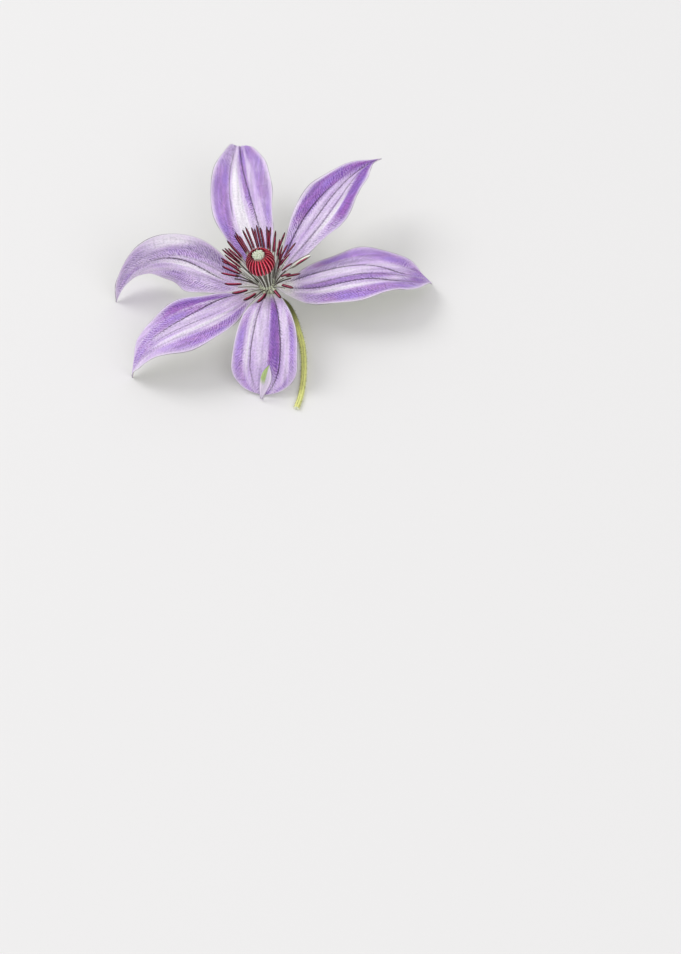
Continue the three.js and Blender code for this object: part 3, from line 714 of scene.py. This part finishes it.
def sepal_tissue():
    """Sepal tissue, satin and a little translucent. Above, washes of lilac and violet that are partly
    painted shade and painted highlight, dark main veins with painted shade beside them, and fine slanting
    ones; below, a yellow-green bar with green veins."""
    material, tree = new_material("sepal_tissue")
    place = add(tree, "ShaderNodeSeparateXYZ", {0: add(tree, "ShaderNodeUVMap", uv_map="blade")})
    pressed = add(tree, "ShaderNodeUVMap", uv_map="pressed")
    half, upper, bar = (
        add(tree, "ShaderNodeAttribute", attribute_name=name).outputs["Fac"]
        for name in ("half_width", "upper", "bar"))
    washes = add(tree, "ShaderNodeAttribute", attribute_name="washes")
    veins, darkness = (
        add(tree, "ShaderNodeSeparateXYZ", {
            0: add(tree, "ShaderNodeAttribute", attribute_name=name).outputs["Vector"]})
        for name in ("veins", "darkness"))
    across = weighted(tree, -1.0, (place.outputs["X"], 2.0))
    apart = add(tree, "ShaderNodeMath", {0: across}, operation="ABSOLUTE")

    # Blots, streaks along the blade and a fine grain, so that no two square millimetres are alike
    blots = mottled(tree, BLOT_SIZE, pressed, 0.3, 3.0)
    tints = mottled(tree, BLOT_SIZE, pressed, 0.4)
    streaks = mottled(tree, STREAK_SIZE, pressed, 0.08)
    ripples, grain = (mottled(tree, size, pressed) for size in (RIPPLE_SIZE, GRAIN_SIZE))

    # Fine veins slant outwards from the midrib
    flat = add(tree, "ShaderNodeSeparateXYZ", {0: pressed})
    outward = add(tree, "ShaderNodeMath", {0: flat.outputs["X"]}, operation="ABSOLUTE")
    course = weighted(
        tree, flat.outputs["Y"], (outward, -FINE_VEIN_SLANT), (blots, BLOT_SIZE), (ripples, RIPPLE_SIZE))
    phase = weighted(tree, 0.0, (course, 2 * math.pi / FINE_VEIN_SPACING))
    swing = add(tree, "ShaderNodeMath", {0: phase}, operation="SINE")
    hatching = product(
        tree, (swing, -0.3, 0.9, 0.0, 1.0), (ripples, 0.3, 0.65, 0.35, 1.0), (grain, 0.3, 0.5, 0.6, 1.0))

    # The washes, with ragged edges that run out along the fine veins
    redder, bluer = (tints, 0.42, 0.66, 0.0, 1.0), (blots, 0.48, 0.68, 0.0, 0.6)
    colour = coated(tree, "pale", ("lilac", (blots, 0.25, 0.75, 0.0, 1.0)))
    violet = coated(tree, "violet", ("mauve", redder), ("bluebell", bluer))
    deep = coated(tree, "deep", ("plum", redder), ("bluebell", bluer))
    ragged = weighted(tree, -0.5, (blots, 0.35), (tints, 0.35), (hatching, 0.3))
    amounts = add(tree, "ShaderNodeSeparateColor", {0: washes.outputs["Color"]}).outputs
    grey_tint_and_shade_amount = washes.outputs["Alpha"]
    layers = ((amounts[0], violet), (amounts[1], deep), (grey_tint_and_shade_amount, "grey_tint_and_shade"), (amounts[2], "white"))
    for amount, tint in layers:
        wet = product(tree, weighted(tree, ragged, (amount, 1.0)), (amount, 0.0, 0.3, 0.0, 1.0))
        colour = coated(tree, colour, (tint, (wet, 0.0, 0.95, 0.0, 1.0)))
    painted = weighted(tree, grey_tint_and_shade_amount, (amounts[0], 1.0), (amounts[1], 1.0))
    # Paler claws; ink fine veins and grain darken the washes, deepening their painted shade too
    colour = coated(
        tree, colour, ("claw", (place.outputs["Y"], 0.02, 0.16, 0.9, 0.0)),
        ("ink", hatching, (painted, 0.1, 0.9, 0.16, 0.75)),
        ("vein", (grain, 0.5, 0.64, 0.0, 1.0), (painted, 0.1, 0.9, 0.06, 0.25)))
    fading = add(tree, "ShaderNodeMapRange", {
        "Value": weighted(tree, streaks, (grain, 0.6)), "From Min": 0.55, "From Max": 1.05,
        "To Min": 1.2, "To Max": 0.82})
    colour = add(tree, "ShaderNodeHueSaturation", {"Color": colour, "Value": fading})

    # Each main vein is a fine broken line with hatched shade beside it
    lines = 0.0
    for axis in "XYZ":
        off = add(tree, "ShaderNodeMath", {0: veins.outputs[axis]}, operation="ABSOLUTE")
        dotted = product(tree, (off, 0.14 * MM, 0.44 * MM, 1.0, 0.0), (grain, 0.36, 0.52, 0.55, 1.0))
        shade = product(tree, (off, 0.1 * MM, 1.5 * MM, 0.6, 0.0), hatching)
        both = add(tree, "ShaderNodeMath", {0: dotted, 1: shade}, operation="MAXIMUM")
        vein = product(tree, both, darkness.outputs[axis])
        lines = add(tree, "ShaderNodeMath", {0: lines, 1: vein}, operation="MAXIMUM")

    # The margin is paler, with a white line that is broader in places
    to_margin = product(tree, weighted(tree, 1.0, (apart, -1.0)), half)
    above = coated(
        tree, colour, ("vein", lines, 0.92), ("pale", (to_margin, 0.5 * MM, 2.4 * MM, 0.4, 0.0)),
        ("white", (to_margin, 0.2 * MM, 0.7 * MM, 1.0, 0.0), (tints, 0.35, 0.6, 0.35, 0.85)))

    # The underside, and the thin dark edge that both faces share
    below = coated(tree, "pale", ("leaf", bar))
    for centre in UNDERSIDE_VEINS:
        beside = product(tree, weighted(tree, apart, (centre, -1.0)), half)
        off = add(tree, "ShaderNodeMath", {0: beside}, operation="ABSOLUTE")
        below = coated(tree, below, (
            "leaf_vein", (off, 0.08 * MM, 0.4 * MM, 0.7, 0.0), (grain, 0.3, 0.6, 0.5, 1.0),
            (half, 1.5 * MM, 5 * MM, 0.15, 1.0)))
    whole = coated(
        tree, below, (above, upper),
        ("vein", (to_margin, 0.08 * MM, 0.34 * MM, 1.0, 0.0), (blots, 0.35, 0.65, 0.85, 0.25)))

    bump = (weighted(tree, grain, (streaks, 0.8)), 0.07 * MM, 0.6)
    tissue(whole, 0.55, softness=0.2, bump=bump, Specular_IOR_Level=0.35, Sheen_Weight=0.1)
    return material


def stamen_tissue(name, body, light, dark, tip_dark, highlight_half, lobe_shade):
    """Anther and filament tissue: smooth, fleshy and satin. Some filaments are darker and all have dark
    flanks, painted shade between the filaments. An anther is darker at random and has a painted highlight
    down one lobe, painted shade on the other lobe, in its seam and on its flanks, and a tip as dark as
    `tip_dark` says."""
    material, tree = new_material(name)
    anther, along, tone = (
        add(tree, "ShaderNodeAttribute", attribute_name=name).outputs["Fac"]
        for name in ("anther", "along", "tone"))
    rounded = add(tree, "ShaderNodeAttribute", attribute_name="round").outputs["Vector"]
    to_side = add(tree, "ShaderNodeSeparateXYZ", {0: rounded}).outputs["Y"]
    off_highlight, aside = (
        add(tree, "ShaderNodeMath", {0: weighted(tree, to_side, (centre, -1.0))}, operation="ABSOLUTE")
        for centre in (HIGHLIGHT_ASIDE, 0.0))
    grain = mottled(tree, STAMEN_GRAIN_SIZE)
    # Anther flesh: darker tones at random, a painted highlight, and painted shade on a lobe, seam and flanks
    flesh = coated(
        tree, body, (dark, (tone, 0.1, 0.9, 0.8, 0.0), (grain, 0.3, 0.6, 0.5, 1.0)),
        (light, (off_highlight, *highlight_half, 0.9, 0.0), (grain, 0.35, 0.55, 0.5, 1.0),
         (along, 0.6, 0.98, 1.0, 0.5)),
        (dark, (to_side, -0.7, -0.1, lobe_shade, 0.0)), (dark, (aside, 0.02, 0.14, 0.4, 0.0)),
        (dark, (aside, 0.56, 0.84, 0.0, 0.95)), (dark, (along, 0.9, 1.0, 0.0, tip_dark)))
    # Filaments: painted shade darkens some of them whole and the flanks of all, more on those given rims
    shaded_rims = weighted(tree, aside, (product(tree, (tone, 0.05, 0.25, 0.0, 0.4)), 1.0))
    thread = coated(
        tree, "filament", ("filament_shade", (tone, 0.3, 0.7, 0.0, 0.85)),
        ("filament_shade", (shaded_rims, 0.7, 0.95, 0.0, 0.8)))
    whole = coated(tree, thread, (flesh, anther))
    tissue(whole, 0.45, softness=0.1, bump=(grain, 0.04 * MM, 0.5), Specular_IOR_Level=0.22)
    return material


def stalk_tissue():
    """Stalk tissue: matt and yellow-green, with painted shade in the furrows between the ribs, a dark olive
    painted shadow near the head, pale rays on the receptacle with painted shade between them, and pale pith
    at the cut."""
    material, tree = new_material("stalk_tissue")
    along, pith = (
        add(tree, "ShaderNodeAttribute", attribute_name=name).outputs["Fac"] for name in ("along", "pith"))
    rounded = add(tree, "ShaderNodeAttribute", attribute_name="round").outputs["Vector"]
    place = add(tree, "ShaderNodeSeparateXYZ", {0: rounded}).outputs
    angle = add(tree, "ShaderNodeMath", {0: place["X"], 1: place["Y"]}, operation="ARCTAN2")
    ribbed, rays = (
        add(tree, "ShaderNodeMath", {0: weighted(tree, 0.0, (angle, float(count)))}, operation="COSINE")
        for count in (STALK_RIBS, RECEPTACLE_RAYS))
    mottle = mottled(tree, STALK_MOTTLE_SIZE, detail=4.0)
    # Painted shadow where the stalk comes out from under the sepals, and painted shade in its furrows
    shadow_near_head = product(tree, (along, 0.28, 0.48, 0.95, 0.0))
    furrow_shade = product(tree, (ribbed, -1.0, 0.0, 0.4, 0.0), (mottle, 0.35, 0.6, 0.4, 1.0))
    darker = add(tree, "ShaderNodeMath", {0: shadow_near_head, 1: furrow_shade}, operation="MAXIMUM")
    # The olive between the receptacle's pale rays is painted shade
    whole = coated(
        tree, "stalk", ("olive", darker), ("heart", (along, 0.035, 0.075, 0.9, 0.0)),
        ("olive", (rays, -0.8, 0.4, 0.6, 0.0), (along, 0.05, 0.08, 1.0, 0.0)), ("pith", pith))
    tissue(whole, 0.6, softness=0.1, bump=(mottle, 0.15 * MM, 0.6), Specular_IOR_Level=0.3)
    return material


def plain_tissue(name, colour, other, size, roughness, softness):
    """Pale plant tissue with a faint mottle, such as styles and down."""
    material, tree = new_material(name)
    mottle = mottled(tree, size)
    whole = coated(tree, colour, (other, (mottle, 0.3, 0.7, 0.0, 1.0)))
    tissue(whole, roughness, softness=softness, Sheen_Weight=0.2)
    return material


def matt_paper():
    """Smooth matt paper, pale and with almost no shine."""
    material, tree = new_material("matt_paper")
    shader = tree.nodes["Principled BSDF"]
    shader.inputs["Base Color"].default_value = linear("paper")
    shader.inputs["Roughness"].default_value = 0.9
    shader.inputs["Specular IOR Level"].default_value = 0.1
    return material


DOWN_TISSUE = plain_tissue("down_tissue", "down", "white", 2 * MM, 0.7, 0.0)
BRISTLE_TISSUE = plain_tissue("bristle_tissue", "bristle", "olive", 2 * MM, 0.7, 0.0)


# Sepals

def blade_surface(spec, phase):
    """The middle surface of a sepal, a grid of points from claw to tip and from right to left margin."""
    curl = spec.get("curl")
    stations = np.linspace(-CLAW_ROOT, 1, BLADE_ROWS + 1)
    if curl:
        low, high = min(curl[2], spec["blunt"][1] - CLOSER_BEFORE), curl[3]
        closer = np.linspace(low, high, CLOSER_ROWS + 1)
        outside = stations[(stations < low) | (stations > high)]
        stations = np.sort(np.concatenate([outside, closer]))
    claw = LEANED @ (direction(0, spec["azimuth"]) * CLAW_RADIUS) + HEAD_AT
    heading = [spec["azimuth"] + turn for turn in spec["heading"]]
    points, side, normal = growth(
        claw, spec["length"] * MM, spec["pitch"], heading, stations, spec["roll"], curl)
    grown_share = np.clip(stations, 0, 1)
    share = through(spec["outline"], grown_share ** spec["reach"])
    if "blunt" in spec:
        start, stop, tip = spec["blunt"]
        rounded = np.clip((grown_share - start) / (stop - start), 0, 1)
        slender = tip * np.sin(np.pi * np.clip((grown_share - stop) / (1 - stop), 0, 1) ** TIP_SWELL)
        share = np.maximum(share * np.sqrt(1 - rounded ** 2), slender)
    half = np.maximum(TIP_HALF_WIDTH, share * spec["width"] * MM / 2)[:, None]
    across = np.linspace(-1, 1, BLADE_COLUMNS)[None, :]
    left = np.radians(bezier(spec["cup_left"], grown_share))[:, None]
    right = np.radians(bezier(spec["cup_right"], grown_share))[:, None]
    turn = np.where(across > 0, left, right)
    turn = np.where(np.abs(turn) < FLATTEST_CUP, FLATTEST_CUP, turn)
    arc = (turn * across)[..., None]
    outwards = normal[:, None] * np.cos(arc) - side[:, None] * np.sin(arc)
    sideways = side[:, None] * np.sin(arc) + normal[:, None] * (1 - np.cos(arc))
    plain = points[:, None] + sideways * (half / turn)[..., None]
    fade = 1 - ease(np.abs(across), *VEINS_FADE)
    veins = -VEIN_DEPTH * np.cos(2 * np.pi * across / VEIN_SPACING) * fade
    swing = np.sin(2 * np.pi * WAVES * stations[:, None] + phase + np.where(across > 0, WAVE_OFFSET, 0))
    relief = np.minimum(1, half / FULL_RELIEF_HALF_WIDTH) * (
        veins + WAVE_HEIGHT * swing * across ** WAVE_POWER)
    middle = plain + outwards * relief[..., None]
    if spec["rests"]:
        thick = CAD_RIB + (CAD_MARGIN - CAD_RIB) * np.abs(across)
        lowest_of = middle[..., 2] - np.abs(outwards[..., 2]) * thick / 2
        row, column = np.unravel_index(np.argmin(lowest_of), lowest_of.shape)
        middle[..., 2] -= lowest_of[row, column] * ((stations / stations[row]) ** 2)[:, None]
    across = np.broadcast_to(across, middle.shape[:2])
    along = np.broadcast_to(stations[:, None], middle.shape[:2])
    return middle, outwards, across, along, np.broadcast_to(half, middle.shape[:2])


def washes_at(washes, across, along):
    """How much of each wash colour there is at each place, from 0 to 1."""
    amounts = np.zeros((*across.shape, len(WASH_COLOURS)))
    for colour, low, high, strength in washes:
        share = np.clip((along - low[0]) / (high[0] - low[0]), 0, 1)
        centre = low[1] + (high[1] - low[1]) * share
        half = low[2] + (high[2] - low[2]) * share
        reach = between(along, low[0], high[0], min(WASH_FADE, (high[0] - low[0]) / 2))
        amount = strength * (1 - ease(np.abs(across - centre), half * 0.5, half * 1.5)) * reach
        amounts *= (1 - amount)[..., None]
        amounts[..., WASH_COLOURS.index(colour)] += amount
    return amounts


def blade_mesh(name, spec, phase):
    middle, outwards, across, along, half = blade_surface(spec, phase)
    rows, columns = across.shape
    corner = (np.arange(rows - 1)[:, None] * columns + np.arange(columns - 1)[None, :]).ravel()
    faces = np.stack([corner, corner + columns, corner + columns + 1, corner + 1], -1)
    mesh = bpy.data.meshes.new(name + "_middle")
    mesh.from_pydata(middle.reshape(-1, 3).tolist(), [], faces.tolist())
    grown_share = np.clip(along, 0, 1)
    aside, low, high = BAR_ASIDE.get(name, (0, 0, 1))
    off_bar = np.abs(across - aside * ease(along, low, high))
    bare = between(along, *BAR_GAP.get(name, (2, 2)), BAR_GAP_FADE)
    marks = dict(
        across=across, half_width=half, outwards=outwards, bar=(1 - ease(off_bar, *BAR_HALF)) * (1 - bare),
        veins=np.stack([(across - through(path, grown_share)) * half for path, _, _ in VEINS[name]], -1),
        darkness=np.stack([dark * between(along, *ends, VEIN_FADE) for _, dark, ends in VEINS[name]], -1),
        washes=washes_at(WASHES[name], across, along))
    for key, values in marks.items():
        attribute(mesh, key, values.reshape(rows * columns, *values.shape[2:]))
    blade_map = np.stack([across / 2 + 0.5, along], -1).reshape(-1, 2)
    pressed_map = np.stack([across * half, along * spec["length"] * MM], -1).reshape(-1, 2)
    for key, layout in (("blade", blade_map), ("pressed", pressed_map)):
        mesh.uv_layers.new(name=key).data.foreach_set("uv", layout[faces.ravel()].astype(np.float32).ravel())
    return mesh


BLADE = blade_tree()
SEPAL_TISSUE = sepal_tissue()
for index, (name, spec) in enumerate(SEPALS.items()):
    sepal = grown(
        name + "_blade", blade_mesh(name, spec, index), BLADE, Groove_Depth=GROOVE_DEPTH,
        Groove_Width=GROOVE_WIDTH, Full_Half_Width=FULL_RELIEF_HALF_WIDTH, Pucker_Height=PUCKER_HEIGHT,
        Pucker_Size=PUCKER_SIZE, Rib=BLADE_RIB, Margin=BLADE_MARGIN, Edge=BLADE_EDGE, Seed=index,
        Material=SEPAL_TISSUE, Down_Material=DOWN_TISSUE)
    stand_in(sepal, name)


# Stamens and pistils

def strands_mesh(name, strands):
    """Lines with their attributes, one for each strand. A strand is a dict of values for its points."""
    mesh = bpy.data.meshes.new(name + "_lines")
    points = np.concatenate([strand["points"] for strand in strands])
    edges = []
    first = 0
    for strand in strands:
        count = len(strand["points"])
        edges += [(first + i, first + i + 1) for i in range(count - 1)]
        first += count
    mesh.from_pydata(points.tolist(), edges, [])
    for key in strands[0]:
        if key != "points":
            attribute(mesh, key, np.concatenate([strand[key] for strand in strands]))
    return mesh


def strand(kind, points, facing, along, girth, tone, anther=0.0):
    """A line in the head's frame, as values for its points in the flower's frame."""
    count = len(points)
    return dict(
        points=from_head(points), facing=facing @ LEANED.T, along=along, girth=girth,
        anther=np.broadcast_to(anther, count), tone=np.full(count, tone), kind=np.full(count, kind))


def stamen_strands(line, anther_half, anther_from, anther_full, tone, thread_shade):
    """A filament and the anther that it carries. `line` gives points and facing at shares of the length."""
    thread = np.linspace(0, anther_full, STRAND_STATIONS // 2)
    points, facing = line(thread)
    yield strand(FILAMENT, points, facing, thread, np.full(len(thread), FILAMENT_HALF), thread_shade)
    s = anther_from + (1 - anther_from) * np.linspace(0, 1, STRAND_STATIONS) ** 0.9
    points, facing = line(s)
    swollen = np.sqrt(ease(s, anther_from - 0.01, anther_full))
    blunt = np.sqrt(np.clip(1.02 - ((s - BLUNT_FROM) / (1 - BLUNT_FROM)).clip(0) ** 2, 0.02, 1))
    girth = anther_half(s) * swollen * blunt
    yield strand(ANTHER, points, facing, s, girth, tone, ease(s, anther_from, anther_full))


def outer_strands():
    strands = []
    for whorl, spec in enumerate(OUTER_WHORLS):
        for k in range(spec["count"]):
            index = whorl * spec["count"] + k
            place = SPREAD_MIDDLE + spec["spread"] * ((k + 0.5 + spec["shift"]) / spec["count"] - 0.5)
            azimuth = place + SCATTER["azimuth"] * wobble(index, 1)
            if whorl == 0 and abs(azimuth - PETALOID["azimuth"]) < spec["spread"] / spec["count"] / 2:
                continue
            back = max(0, math.cos(math.radians(azimuth - LIFTED_SIDE)))
            front = max(0, -math.sin(math.radians(azimuth)))
            curl = FRONT_CURL * front * (math.cos(math.radians(azimuth)) < CURL_LIMIT)
            lift = LIFT * back - FRONT_DROP * front + SCATTER["rise"] * wobble(index, 2)
            rise = [min(STEEPEST, angle + lift) for angle in spec["rise"]]
            sway = SCATTER["sway"] * wobble(index, 3) + curl
            length = (spec["length"] + STRETCH * back + SCATTER["length"] * wobble(index, 4)) * MM
            start = direction(0, azimuth) * OUTER_RADIUS + np.array([0, 0, spec["height"] * MM])

            def line(s):
                points, _, facing = growth(start, length, rise, [azimuth] * 3 + [azimuth + sway], s)
                return points, facing

            anther_half = OUTER_ANTHER_HALF * (1 + FRONT_SWELL * front)
            tone = (0.5 + 0.5 * wobble(index, 5)) * (1 - FRONT_DARKENING * front)
            # Painted shade: every third filament dark, and dark rims on those at the front
            thread_shade = 1.0 if index % SHADED_THREAD_STEP == 0 else SHADED_RIM_TONE * ease(front, 0, RIMMED_FROM)
            strands += stamen_strands(
                line, lambda s: anther_half, ANTHER_FROM, ANTHER_FULL, tone, thread_shade)
    return strands


def petaloid_strands():
    """One stamen has grown broad and flat like a small petal, with half an anther along its edge."""
    s = np.linspace(0, 1, STRAND_STATIONS)
    azimuth = PETALOID["azimuth"]
    start = direction(0, azimuth) * OUTER_RADIUS + np.array([0, 0, OUTER_WHORLS[0]["height"] * MM])
    points, side, facing = growth(start, PETALOID["length"] * MM, PETALOID["rise"], [azimuth], s)
    opens, opened = PETALOID["opens"]
    share = np.clip((s - opens) / (1.01 - opens), 0, 1)
    broad = ease(share, 0, opened) * np.sqrt(1 - share ** PETALOID["bluntness"])
    girth = FILAMENT_HALF + (PETALOID["half"] * MM - FILAMENT_HALF) * broad
    blade = strand(PETAL_LIKE, points, facing, s, girth, SHADED_RIM_TONE)
    edge = slice(*(int(share * STRAND_STATIONS) for share in PETALOID["anther"]))
    aside = points - side * (girth * PETALOID["aside"])[:, None] + facing * PETALOID["lift"] * MM
    swollen = OUTER_ANTHER_HALF * np.sqrt(np.sin(np.pi * np.linspace(0.04, 0.96, len(s[edge]))))
    anther = strand(ANTHER, aside[edge], facing[edge], 0.6 + 0.3 * s[edge], swollen, PETALOID["tone"], 1.0)
    return [blade, anther]


def barrel_strands():
    strands = []
    for k in range(INNER_COUNT):
        azimuth = 360 * k / INNER_COUNT
        outwards, side = direction(0, azimuth), direction(0, azimuth + 90)

        def line(s):
            radius, height = (through(values, s)[:, None] for values in (BARREL_RADII, BARREL_HEIGHTS))
            points = outwards * radius + np.array([0, 0, 1]) * height
            return points * MM, np.cross(np.gradient(points, axis=0), side)

        def half(s):
            return np.pi * through(BARREL_RADII, s) * MM * BARREL_FILL / INNER_COUNT

        # Every second filament round the barrel is dark, as painted shade between them
        strands += stamen_strands(
            line, half, BARREL_ANTHER_FROM, BARREL_ANTHER_FULL, 0.5 + 0.5 * wobble(k, 6), float(k % 2))
    return strands


def style_strands():
    strands = []
    s = np.linspace(0, 1, STRAND_STATIONS // 2)
    for k in range(STYLE_COUNT):
        share = math.sqrt((k + STYLE_FIRST) / STYLE_COUNT)
        outwards = direction(0, k * GOLDEN_ANGLE)
        radius = share * (STYLE_REACH[0] + (STYLE_REACH[1] - STYLE_REACH[0]) * s)
        top = STYLE_TOP - STYLE_CROWN * share ** 2 + STYLE_SCATTER * wobble(k, 7)
        height = STYLE_FOOT + (top - STYLE_FOOT) * s
        points = outwards * radius[:, None] + np.array([0, 0, 1]) * height[:, None]
        facing = np.broadcast_to(-outwards, points.shape)
        girth = STYLE_HALF * (1 - STYLE_TAPER * ease(s, STYLE_TAPER_FROM, 1))
        one = strand(FILAMENT, points, facing, s, girth, 0.5)
        one["downy"] = ease(s, *STYLE_DOWNY)
        strands.append(one)
    return strands


STAMENS = stamens_tree()
LIMBS = downy_limbs_tree()
# Each tissue's light colour is a painted highlight; its dark colour is painted shade and darker tones and
# tips
maroon = stamen_tissue(
    "maroon_anther_tissue", "maroon", "maroon_painted_highlight", "near_black_and_shade", tip_dark=0.85, highlight_half=(0.08, 0.34),
    lobe_shade=0.6)
outer = grown(
    "outer_stamen_whorls", strands_mesh("outer", outer_strands() + petaloid_strands()), STAMENS,
    Anther_Flatness=0.8, Material=maroon)
stand_in(outer, "outer_stamens")
crimson = stamen_tissue(
    "crimson_anther_tissue", "crimson", "crimson_painted_highlight", "crimson_dark_and_shade", tip_dark=0.0,
    highlight_half=(0.06, 0.3), lobe_shade=0.4)
inner = grown(
    "inner_stamen_barrel", strands_mesh("inner", barrel_strands()), STAMENS, Anther_Flatness=1.3,
    Material=crimson)
stand_in(inner, "inner_stamens")
silky = plain_tissue("style_tissue", "style", "style_shade", 1 * MM, 0.5, 0.2)
styles = grown(
    "pistil_styles", strands_mesh("styles", style_strands()), LIMBS, Sides=8, Ribs=0.0, Rib_Height=0.0,
    Material=silky, Down_Material=DOWN_TISSUE, **STYLE_DOWN)
stand_in(styles, "pistils")


# Stalk and receptacle

def run_along(points):
    """How far along a line each of its points is."""
    return np.concatenate([[0], np.cumsum(np.linalg.norm(np.diff(points, axis=0), axis=1))])


def centripetal(points, count):
    """A smooth route through every point, sampled evenly by length."""
    ends = np.concatenate([[2 * points[0] - points[1]], points, [2 * points[-1] - points[-2]]])
    fine = []
    for p0, p1, p2, p3 in zip(ends, ends[1:], ends[2:], ends[3:]):
        d0, d1, d2 = (math.sqrt(np.linalg.norm(b - a)) for a, b in ((p0, p1), (p1, p2), (p2, p3)))
        leave = ((p1 - p0) / d0 - (p2 - p0) / (d0 + d1) + (p2 - p1) / d1) * d1
        reach = ((p2 - p1) / d1 - (p3 - p1) / (d1 + d2) + (p3 - p2) / d2) * d1
        f = np.linspace(0, 1, ROUTE_STEPS, endpoint=False)[:, None]
        fine.append((2 * f ** 3 - 3 * f ** 2 + 1) * p1 + (f ** 3 - 2 * f ** 2 + f) * leave
                    + (3 * f ** 2 - 2 * f ** 3) * p2 + (f ** 3 - f ** 2) * reach)
    fine = np.concatenate([*fine, points[-1:]])
    run = run_along(fine)
    even = np.linspace(0, run[-1], count)
    return np.stack([np.interp(even, run, fine[:, axis]) for axis in range(3)], -1)


def stalk_strand():
    """From the domed top of the receptacle down the head's axis and along the stalk to its cut end."""
    heights = np.linspace(RECEPTACLE_TOP, AXIS_FOOT, AXIS_STATIONS, endpoint=False)
    axis = from_head(np.stack([0 * heights, 0 * heights, heights], -1))
    route = centripetal(STALK_ROUTE + np.array([HEAD_AT[0], HEAD_AT[1], 0]), STALK_STATIONS)
    points = np.concatenate([axis, route])
    run = run_along(points)
    height = RECEPTACLE_TOP - run
    dome = np.sqrt(np.clip(1 - (np.clip(height, 0, None) / RECEPTACLE_TOP) ** 2, DOME_FLOOR, 1))
    share = np.clip((run - RECEPTACLE_TOP + AXIS_FOOT) / (run[-1] - RECEPTACLE_TOP + AXIS_FOOT), 0, 1)
    slim = STALK_TOP_RADIUS + (STALK_RADIUS - STALK_TOP_RADIUS) * ease(share, 0, STALK_TOP_SHARE)
    bell = slim + (RECEPTACLE_RADIUS - slim) * ease(height, RECEPTACLE_FOOT, RECEPTACLE_RIM)
    tangent = np.gradient(points, axis=0)
    across = np.cross(tangent, [0, 0, 1])
    across[:AXIS_STATIONS] = np.cross(tangent[:AXIS_STATIONS], [0, 1, 0])
    facing = np.cross(across, tangent)
    return dict(
        points=points, facing=facing / np.linalg.norm(facing, axis=1)[:, None],
        girth=np.where(height > 0, RECEPTACLE_RADIUS * dome, bell), along=run / run[-1],
        downy=np.where(height > BARE_TO, 0.0, 1.0), pith=np.arange(len(points)) == len(points) - 1)


stalk = grown(
    "downy_stalk", strands_mesh("stalk", [stalk_strand()]), LIMBS, Sides=STALK_SIDES,
    Ribs=float(STALK_RIBS), Rib_Height=STALK_RIB_HEIGHT, Material=stalk_tissue(),
    Down_Material=BRISTLE_TISSUE, **STALK_BRISTLES)
stand_in(stalk, "peduncle")


# Camera, light and floor

PHOTO_SIZE = (681, 954)
HEAD_PIXEL = (268, 285)
LENS = 85
SENSOR = 36
LOOK_DOWN = math.radians(55)
CAMERA_DEPTH = 0.991
AIM = Vector((HEAD_AT[0], HEAD_AT[1], 17 * MM))
KEY_LIGHT = dict(at=(-2.1, 1.0, 2.6), size=2.0, watts=40)
FILL_LIGHT = dict(at=(1.4, -2.1, 2.1), size=2.4, watts=15)
ROOM_LIGHT = 0.7
FLOOR_REACH = 4
FLOOR_DROP = 0.05 * MM


def place_camera():
    data = bpy.data.cameras.new("camera")
    data.lens = LENS
    data.sensor_width = SENSOR
    data.clip_start = 0.01
    camera = placed("camera", data)
    turn = Matrix.Rotation(math.radians(90) - LOOK_DOWN, 4, "X")
    right, up, back = (Vector(turn.col[i][:3]) for i in range(3))
    pixels = LENS / SENSOR * PHOTO_SIZE[1]
    across = (HEAD_PIXEL[0] - PHOTO_SIZE[0] / 2) / pixels * CAMERA_DEPTH
    above = -(HEAD_PIXEL[1] - PHOTO_SIZE[1] / 2) / pixels * CAMERA_DEPTH
    camera.matrix_world = Matrix.Translation(
        AIM + back * CAMERA_DEPTH - right * across - up * above) @ turn
    bpy.context.scene.camera = camera


def area_light(name, at, size, watts):
    data = bpy.data.lights.new(name, "AREA")
    data.shape = "DISK"
    data.size = size
    data.energy = watts
    light = placed(name, data)
    light.location = at
    light.rotation_euler = (-Vector(at)).to_track_quat("-Z", "Y").to_euler()


def studio():
    mesh = bpy.data.meshes.new("floor")
    corners = [(x * FLOOR_REACH, y * FLOOR_REACH, 0) for x, y in ((-1, -1), (1, -1), (1, 1), (-1, 1))]
    mesh.from_pydata(corners, [], [(0, 1, 2, 3)])
    mesh.materials.append(matt_paper())
    floor = placed("floor", mesh)
    floor.location.z = -FLOOR_DROP
    world = bpy.data.worlds.new("soft_room")
    world.use_nodes = True
    backdrop = world.node_tree.nodes["Background"]
    backdrop.inputs["Color"].default_value = (1, 1, 1, 1)
    backdrop.inputs["Strength"].default_value = ROOM_LIGHT
    bpy.context.scene.world = world
    bpy.context.scene.view_settings.view_transform = "Standard"
    area_light("key", **KEY_LIGHT)
    area_light("fill", **FILL_LIGHT)


place_camera()
studio()
